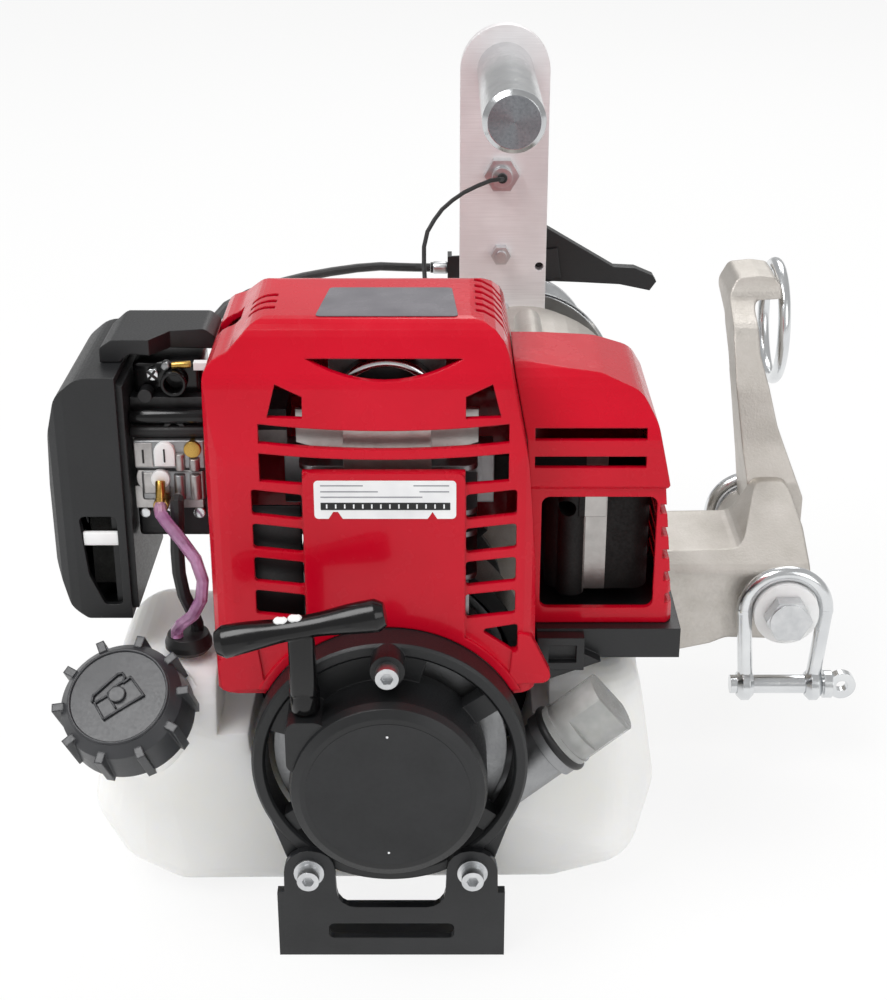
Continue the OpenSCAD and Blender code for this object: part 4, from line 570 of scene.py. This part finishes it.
editMode(paper, lambda co: abs(abs(co.x * 1000 + 0.6) - 24) < 0.2
         and not label["z0"] + 1 < co.z * 1000 < label["z1"] - 1)
bpy.ops.mesh.bevel(offset=label["corner"] / 1000, segments=4, affect="VERTICES")
objectMode()
applyModifier(paper, "SOLIDIFY", thickness=0.0002, offset=0)
settle(paper, "whiteVinylFilm")


def uprightCorners(x0, x1, z0, z1, y):
    # corners of a strip that stands facing the front
    return [(x0, y, z0), (x1, y, z0), (x1, y, z1), (x0, y, z1)]


sheetPiece("labelBand", uprightCorners(*label["band"], 0.2), 0.06, "blackPrint", rim=0.1)
for i in range(label["marks"]):
    mark = label["firstMark"] + i * label["markStep"]
    sheetPiece("labelMark%02d" % i, uprightCorners(mark, mark + label["markWide"], 174.9, 176.4, 0.15), 0.04,
               "whiteVinylFilm", rim=0.05)
for i, (start, end, z) in enumerate(label["rules"]):
    sheetPiece("labelRule%d" % i, uprightCorners(start, end, z, z + label["ruleHigh"], 0.2), 0.04, "greyPrint",
               rim=0.05)
panel = {"z": 236.62, "outline": ((-23.8, 19.4), (24.0, 19.4), (22.0, 51.5), (-20.6, 51.5)), "thick": 0.24}
sheetPiece("topPanel", [(x, y, panel["z"]) for x, y in panel["outline"]], panel["thick"], "smokedPolycarbonate",
           rim=1.5)

disc = {"radius": 28.5, "thick": 0.3, "height": 80, "dots": (56.5, 103.5), "dotRadius": 0.42}
sticker = begin("starterSticker", bpy.ops.mesh.primitive_cylinder_add, vertices=96, radius=disc["radius"] / 1000,
                depth=disc["thick"] / 1000)
editMode(sticker, lambda co: co.z > 0)
bpy.ops.mesh.inset(thickness=0.0006)
bpy.ops.transform.translate(value=mm(0, 0, -0.12))
objectMode()
disc["y"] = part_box("recoil_cover")[0][1] * 1000
settle(sticker, "satinBlackFilm", "frame",
       Matrix.Translation(mm(0, disc["y"], disc["height"])) @ Matrix.Rotation(math.radians(90), 4, "X"), 30)
for i, z in enumerate(disc["dots"]):
    dot = rodPiece("stickerDot%d" % i, (0, disc["y"] - 0.2, z), (0, disc["y"] - 0.1, z), disc["dotRadius"], 12, 0)
    settle(dot, "whiteVinylFilm")
print("stage 4: bare label, panel and sticker")

# fuel cap pictogram
cap = {"top": (-95.5, -5, 105.3), "roll": -8.8, "tilt": 35, "rim": 17.8, "rimTube": 0.6, "rimDrop": 0.8}
capTurn = Matrix.Rotation(math.radians(cap["roll"]), 4, "Y") @ Matrix.Rotation(math.radians(cap["tilt"]), 4, "X")
capPlace = Matrix.Translation(mm(*cap["top"])) @ capTurn
raised = {"high": 0.6, "line": 0.8, "reach": 0.3, "foot": -0.3, "edge": 0.25}
pumpOutlines = [
    [(-3.0, 0.5), (-8.2, -1.9), (-4.9, -8.6), (9.5, -1.4), (4.8, 6.3), (2.1, 4.4)],
    [(-3.4, 0.2), (-0.6, -4.8)],
    [(-3.4, 1.1), (-1.5, 2.8), (2.0, 5.0), (2.8, 6.6), (1.8, 8.3), (0.0, 8.0), (-5.6, 3.4), (-8.7, 1.0),
     (-9.1, -1.3)],
]
strokes = [pair for outline in pumpOutlines for pair in zip(outline, outline[1:])]
bars = []
for i, (a, b) in enumerate(strokes):
    direction = (Vector(b) - Vector(a)).normalized() * raised["reach"]
    a3, b3 = Vector((*(Vector(a) - direction), 0)), Vector((*(Vector(b) + direction), 0))
    bar = blockPiece("pumpStroke%d" % i, (-(b3 - a3).length / 2, -raised["line"] / 2, raised["foot"]),
                     ((b3 - a3).length / 2, raised["line"] / 2, raised["high"]), raised["edge"], 2)
    angle = math.atan2(b3.y - a3.y, b3.x - a3.x)
    bar.matrix_world = Matrix.Translation((a3 + b3) / 2000) @ Matrix.Rotation(angle, 4, "Z")
    bars.append(bar)
pump = joinPieces("pumpPictogram", bars)
settle(pump, "satinPolypropylene", "fuel_cap", capPlace)
settle(ringPiece("capRim", cap["rim"], cap["rimTube"]), "satinPolypropylene", "fuel_cap",
       capPlace @ Matrix.Translation(mm(0, 0, -cap["rimDrop"])), 60)
print("stage 5: fuel cap pictogram")

# carburettor fittings
carb = {"bore": (-75.8, 38.5, 205.2), "outer": 4.6, "inner": 3.3, "depth": 12, "floor": 10,
        "boss": (-79.3, 32.4, 182.6), "bossRadius": 3.7, "bossLong": 5.2}
settle(blockPiece("throttleBody", (-91, 45, 195.5), (-66.6, 66, 211.6), 2.0, 3), "blackGlossNylon")
tube = begin("throttleBore", bpy.ops.mesh.primitive_cylinder_add, vertices=40, radius=carb["outer"] / 1000,
             depth=carb["depth"] / 1000)
editMode(tube, lambda co: co.z > 0)
bpy.ops.mesh.inset(thickness=(carb["outer"] - carb["inner"]) / 1000)
bpy.ops.mesh.extrude_region_move(TRANSFORM_OT_translate={"value": mm(0, 0, -carb["floor"])})
objectMode()
applyModifier(tube, "BEVEL", width=0.0004, segments=2, limit_method="ANGLE", angle_limit=math.radians(60))
settle(tube, "blackGlossNylon", "frame",
       Matrix.Translation(mm(carb["bore"][0], carb["bore"][1] + carb["depth"] / 2, carb["bore"][2]))
       @ Matrix.Rotation(math.radians(90), 4, "X"))
carbRods = [  # name, start, end, radius, finish
    ("breatherPipe", (-91.5, 37.2, 193.9), (-62.5, 37.2, 193.9), 2.7, "blackGlossNylon"),
    ("primerPipe", (-91.5, 36.9, 188.4), (-62.5, 36.9, 188.4), 2.3, "blackRubber"),
    ("mixtureScrew", (-76.4, 42, 211.2), (-69.6, 42, 211.6), 1.3, "turnedBrass"),
    ("screwSeat", (-78.6, 41, 211.0), (-78.6, 45, 211.0), 1.5, "groundSteel"),
    ("idleScrew", (-83.3, 40.5, 208.1), (-83.3, 46, 208.1), 2.2, "polishedStainless"),
    # two black bars across the idle screw's head: painted shade standing in for its cross slot
    ("idleSlotShadeA", (-85.0, 40.2, 209.6), (-81.7, 40.2, 206.6), 0.45, "blackRubber"),
    ("idleSlotShadeB", (-84.6, 40.2, 206.5), (-82.1, 40.2, 209.8), 0.45, "blackRubber"),
    ("jetPlug", (-69.4, 31.2, 183.4), (-69.4, 36, 183.4), 3.1, "turnedBrass"),
    ("ribA", (-74.0, 32.0, 175.6), (-74.0, 32.0, 181.8), 1.7, "carburettorCasting"),
    ("ribB", (-69.0, 32.0, 175.6), (-69.0, 32.0, 180.0), 1.9, "carburettorCasting"),
    ("ribC", (-74.6, 32.0, 164.4), (-74.6, 32.0, 174.0), 2.0, "dieCastAluminium"),
    ("ribD", (-69.0, 32.0, 164.4), (-69.0, 32.0, 174.0), 2.0, "carburettorCasting"),
    ("inletSeat", (-81.3, 30.8, 172.2), (-81.3, 34, 172.2), 3.4, "whiteAcetal"),
    ("inletBend", (-81.3, 30.4, 172.0), (-81.0, 26.4, 164.6), 1.75, "turnedBrass"),
    ("inletSleeve", (-81.0, 26.2, 164.0), (-81.0, 33, 164.0), 2.75, "turnedBrass"),
    ("bracketScrew", (-88.2, 34.6, 157.6), (-88.2, 39, 157.6), 2.0, "polishedStainless"),
    ("bracketScrewB", (-68.7, 34.6, 157.6), (-68.7, 39, 157.6), 2.2, "polishedStainless"),
    ("bracketCollar", (-81.2, 35.6, 157.0), (-81.2, 39, 157.0), 3.0, "polishedStainless"),
    ("bracketPlug", (-81.2, 35.2, 155.8), (-81.2, 38, 155.8), 2.6, "blackRubber"),
]
for name, start, end, radius, look in carbRods:
    settle(rodPiece(name, start, end, radius, 28 if radius > 2 else 16, min(0.4, radius / 4)), look)
carbBlocks = [  # name, low corner, high corner, edge radius, finish
    ("floatBody", (-90.6, 32.6, 175.6), (-65.2, 42, 186.4), 0.7, "dieCastAluminium"),
    ("floatPad", (-90.2, 32.2, 176.4), (-83.6, 34, 185.6), 0.4, "carburettorCasting"),
    ("floatMark", (-87.4, 31.9, 178.0), (-86.7, 33, 183.2), 0.15, "blackRubber"),
    ("bowlSeam", (-89.6, 32.8, 175.0), (-65.6, 41, 175.7), 0.1, "blackRubber"),
    ("floatBowl", (-88.4, 32.6, 163.4), (-65.8, 40, 174.9), 1.0, "dieCastAluminium"),
    ("bowlPad", (-87.6, 32.0, 166.2), (-78.2, 34, 174.4), 0.5, "carburettorCasting"),
    ("intakeBracket", (-91.4, 38, 147), (-63.5, 46, 162.6), 1.5, "blackMouldedAbs"),
]
for name, low, high, rim, look in carbBlocks:
    settle(blockPiece(name, low, high, rim, 3), look)
boss = begin("accessBoss", bpy.ops.mesh.primitive_cylinder_add, vertices=32, radius=carb["bossRadius"] / 1000,
             depth=0.0034)
editMode(boss, lambda co: co.y < -0.0002)
bpy.ops.transform.resize(value=(1.0, 0.0, 1.0), center_override=(0, 0, 0))
bpy.ops.transform.translate(value=mm(0, -carb["bossLong"], 0))
objectMode()
applyModifier(boss, "BEVEL", width=0.0005, segments=3, limit_method="ANGLE", angle_limit=math.radians(60))
settle(boss, "whiteAcetal", "frame",
       Matrix.Translation(mm(*carb["boss"])) @ Matrix.Rotation(math.radians(90), 4, "X"))
# a black strip on the white boss: painted shade standing in for its slit
settle(blockPiece("bossSlitShade", (-79.6, 30.4, 179.0), (-79.0, 31.2, 184.0), 0.15, 2), "blackRubber")
settle(blockPiece("cleanerClip", (-109.6, 26.4, 148.4), (-96.6, 28.2, 153.8), 0.6, 2), "whiteAcetal")
print("stage 6: carburettor fittings")

# small fittings on the plate and the cable
cable = {"y": 258, "z": 183, "ferrule": (14.2, 20.9, 2.9), "core": (20, 31, 0.55), "rise": 184.4}
start, end, radius = cable["ferrule"]
settle(rodPiece("ferrule", (start, cable["y"], cable["z"]), (end, cable["y"], cable["z"]), radius, 20, 0.5),
       "zincPlatedSteel")
start, end, radius = cable["core"]
settle(rodPiece("cableCore", (start, cable["y"], cable["z"]), (end, cable["y"], cable["rise"]), radius, 10, 0.05),
       "groundSteel")
gland = {"x": 45.5, "z": 230.6, "y0": 235.6, "y1": 238.2, "radius": 2.3}
settle(rodPiece("wireGland", (gland["x"], gland["y0"], gland["z"]), (gland["x"], gland["y1"], gland["z"]),
                gland["radius"], 18, 0.5), "blackRubber")


def turnedEnd():
    # lathe-turned bar end: fine rings give the light a bow-tie
    mat, tree, bsdf = newMaterial("latheTurnedAluminium", {"Metallic": 1.0, "Anisotropic": 0.85})
    fine = grain(tree, 1.2)
    tone = tint(tree, (spread(tree, (fine, "Fac"), 0, 1), "Result"), "#77797D", "#8B8D91")
    tree.links.new(tone[0].outputs[2], bsdf.inputs["Base Color"])
    tree.links.new(spread(tree, (fine, "Fac"), 0.26, 0.34).outputs["Result"], bsdf.inputs["Roughness"])
    tangent = addNode(tree, "ShaderNodeTangent", {"direction_type": "RADIAL", "axis": "Y"})
    tree.links.new(tangent.outputs["Tangent"], bsdf.inputs["Tangent"])
    return mat


finishes["latheTurnedAluminium"] = turnedEnd()
barLow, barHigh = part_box("handle_bar")
bar = {"x": (barLow[0] + barHigh[0]) * 500, "z": (barLow[2] + barHigh[2]) * 500, "front": barLow[1] * 1000,
       "faceRadius": 10.4, "proud": 0.05, "sunk": 0.4}
face = rodPiece("barEndFace", (bar["x"], bar["front"] - bar["proud"], bar["z"]),
                (bar["x"], bar["front"] + bar["sunk"], bar["z"]), bar["faceRadius"], 64, 0)
settle(face, "latheTurnedAluminium")

oil = {"foot": (38, 14, 56), "lean": 50.0, "seal": 31.2, "sealRadius": 12.5, "sealTube": 1.1}
oilPlace = Matrix.Translation(mm(*oil["foot"])) @ Matrix.Rotation(math.radians(oil["lean"]), 4, "Y")
seal = ringPiece("oilSeal", oil["sealRadius"], oil["sealTube"])
seal.scale = (1, 1, 1.4)
settle(seal, "blackRubber", "oil_cap", oilPlace @ Matrix.Translation(mm(0, 0, oil["seal"])), 60)
print("stage 7: plate and cable fittings")

# painted shade: a dark box behind the left slots; painted highlight: a bright ring on the rim of the timing
# pulley behind the upper window
inner = {"slotShadeBox": ((-56, 11, 126), (-30, 12.4, 171)), "pulley": (0, 14.3, 204.3), "rim": 17.8, "rimTube": 1.7}
# a black box standing for the shade in the cavity behind the left slots: painted shade
settle(blockPiece("slotShadeSheet", *inner["slotShadeBox"], 0.5, 2), "blackMouldedAbs")
# a bright aluminium ring on the front edge of the pulley disc: a painted highlight along its rim
settle(ringPiece("pulleyRimHighlight", inner["rim"], inner["rimTube"]), "turnedAluminium", "frame",
       Matrix.Translation(mm(*inner["pulley"])) @ Matrix.Rotation(math.radians(90), 4, "X"), 60)
print("stage 8: parts seen through the shroud")

# studio
studio = {"floor": 16.0, "floorTone": "#F4F4F3", "glow": 0.86, "sky": 0.5, "lamps": [
    ("keyLamp", (-0.75, -0.45, 1.75), 1.0, 24.0), ("fillLamp", (1.2, -1.2, 0.9), 1.0, 7.0),
    ("backLamp", (0.4, 1.4, 1.4), 1.0, 9.0)]}
bpy.ops.object.select_all(action="DESELECT")
bpy.ops.mesh.primitive_plane_add(size=studio["floor"], location=(0, 0, 0))
floor = bpy.context.object
floor.name = "studioFloor"
mat, tree, bsdf = newMaterial("paintedFloor", {"Roughness": 0.9, "Base Color": toLinear(studio["floorTone"])})
light = addNode(tree, "ShaderNodeEmission", {"Color": (1, 1, 1, 1), "Strength": 1.0})
paths = addNode(tree, "ShaderNodeLightPath")
seen = addNode(tree, "ShaderNodeMath", {"operation": "MAXIMUM"},
               {0: (paths, "Is Camera Ray"), 1: (paths, "Is Glossy Ray")})
share = addNode(tree, "ShaderNodeMath", {"operation": "MULTIPLY", 1: studio["glow"]}, {0: (seen, "Value")})
both = addNode(tree, "ShaderNodeMixShader", None,
               {0: (share, "Value"), 1: (bsdf, "BSDF"), 2: (light, "Emission")})
tree.links.new(both.outputs["Shader"], tree.nodes["Material Output"].inputs["Surface"])
floor.data.materials.append(mat)
for name, place, size, power in studio["lamps"]:
    lampData = bpy.data.lights.new(name, "AREA")
    lampData.size = size
    lampData.energy = power
    lamp = bpy.data.objects.new(name, lampData)
    lamp.location = place
    lamp.rotation_euler = (Vector((0, 0.1, 0.12)) - Vector(place)).to_track_quat("-Z", "Y").to_euler()
    bpy.context.scene.collection.objects.link(lamp)
world = bpy.data.worlds.new("studioWorld")
bpy.context.scene.world = world
world.use_nodes = True
sky = world.node_tree.nodes["Background"]
paths = addNode(world.node_tree, "ShaderNodeLightPath")
seen = addNode(world.node_tree, "ShaderNodeMath", {"operation": "MAXIMUM"},
               {0: (paths, "Is Camera Ray"), 1: (paths, "Is Transmission Ray")})
level = addNode(world.node_tree, "ShaderNodeMapRange", {"To Min": studio["sky"], "To Max": 1.0},
                {"Value": (seen, "Value")})
world.node_tree.links.new(level.outputs["Result"], sky.inputs["Strength"])
sky.inputs["Color"].default_value = (1, 1, 1, 1)
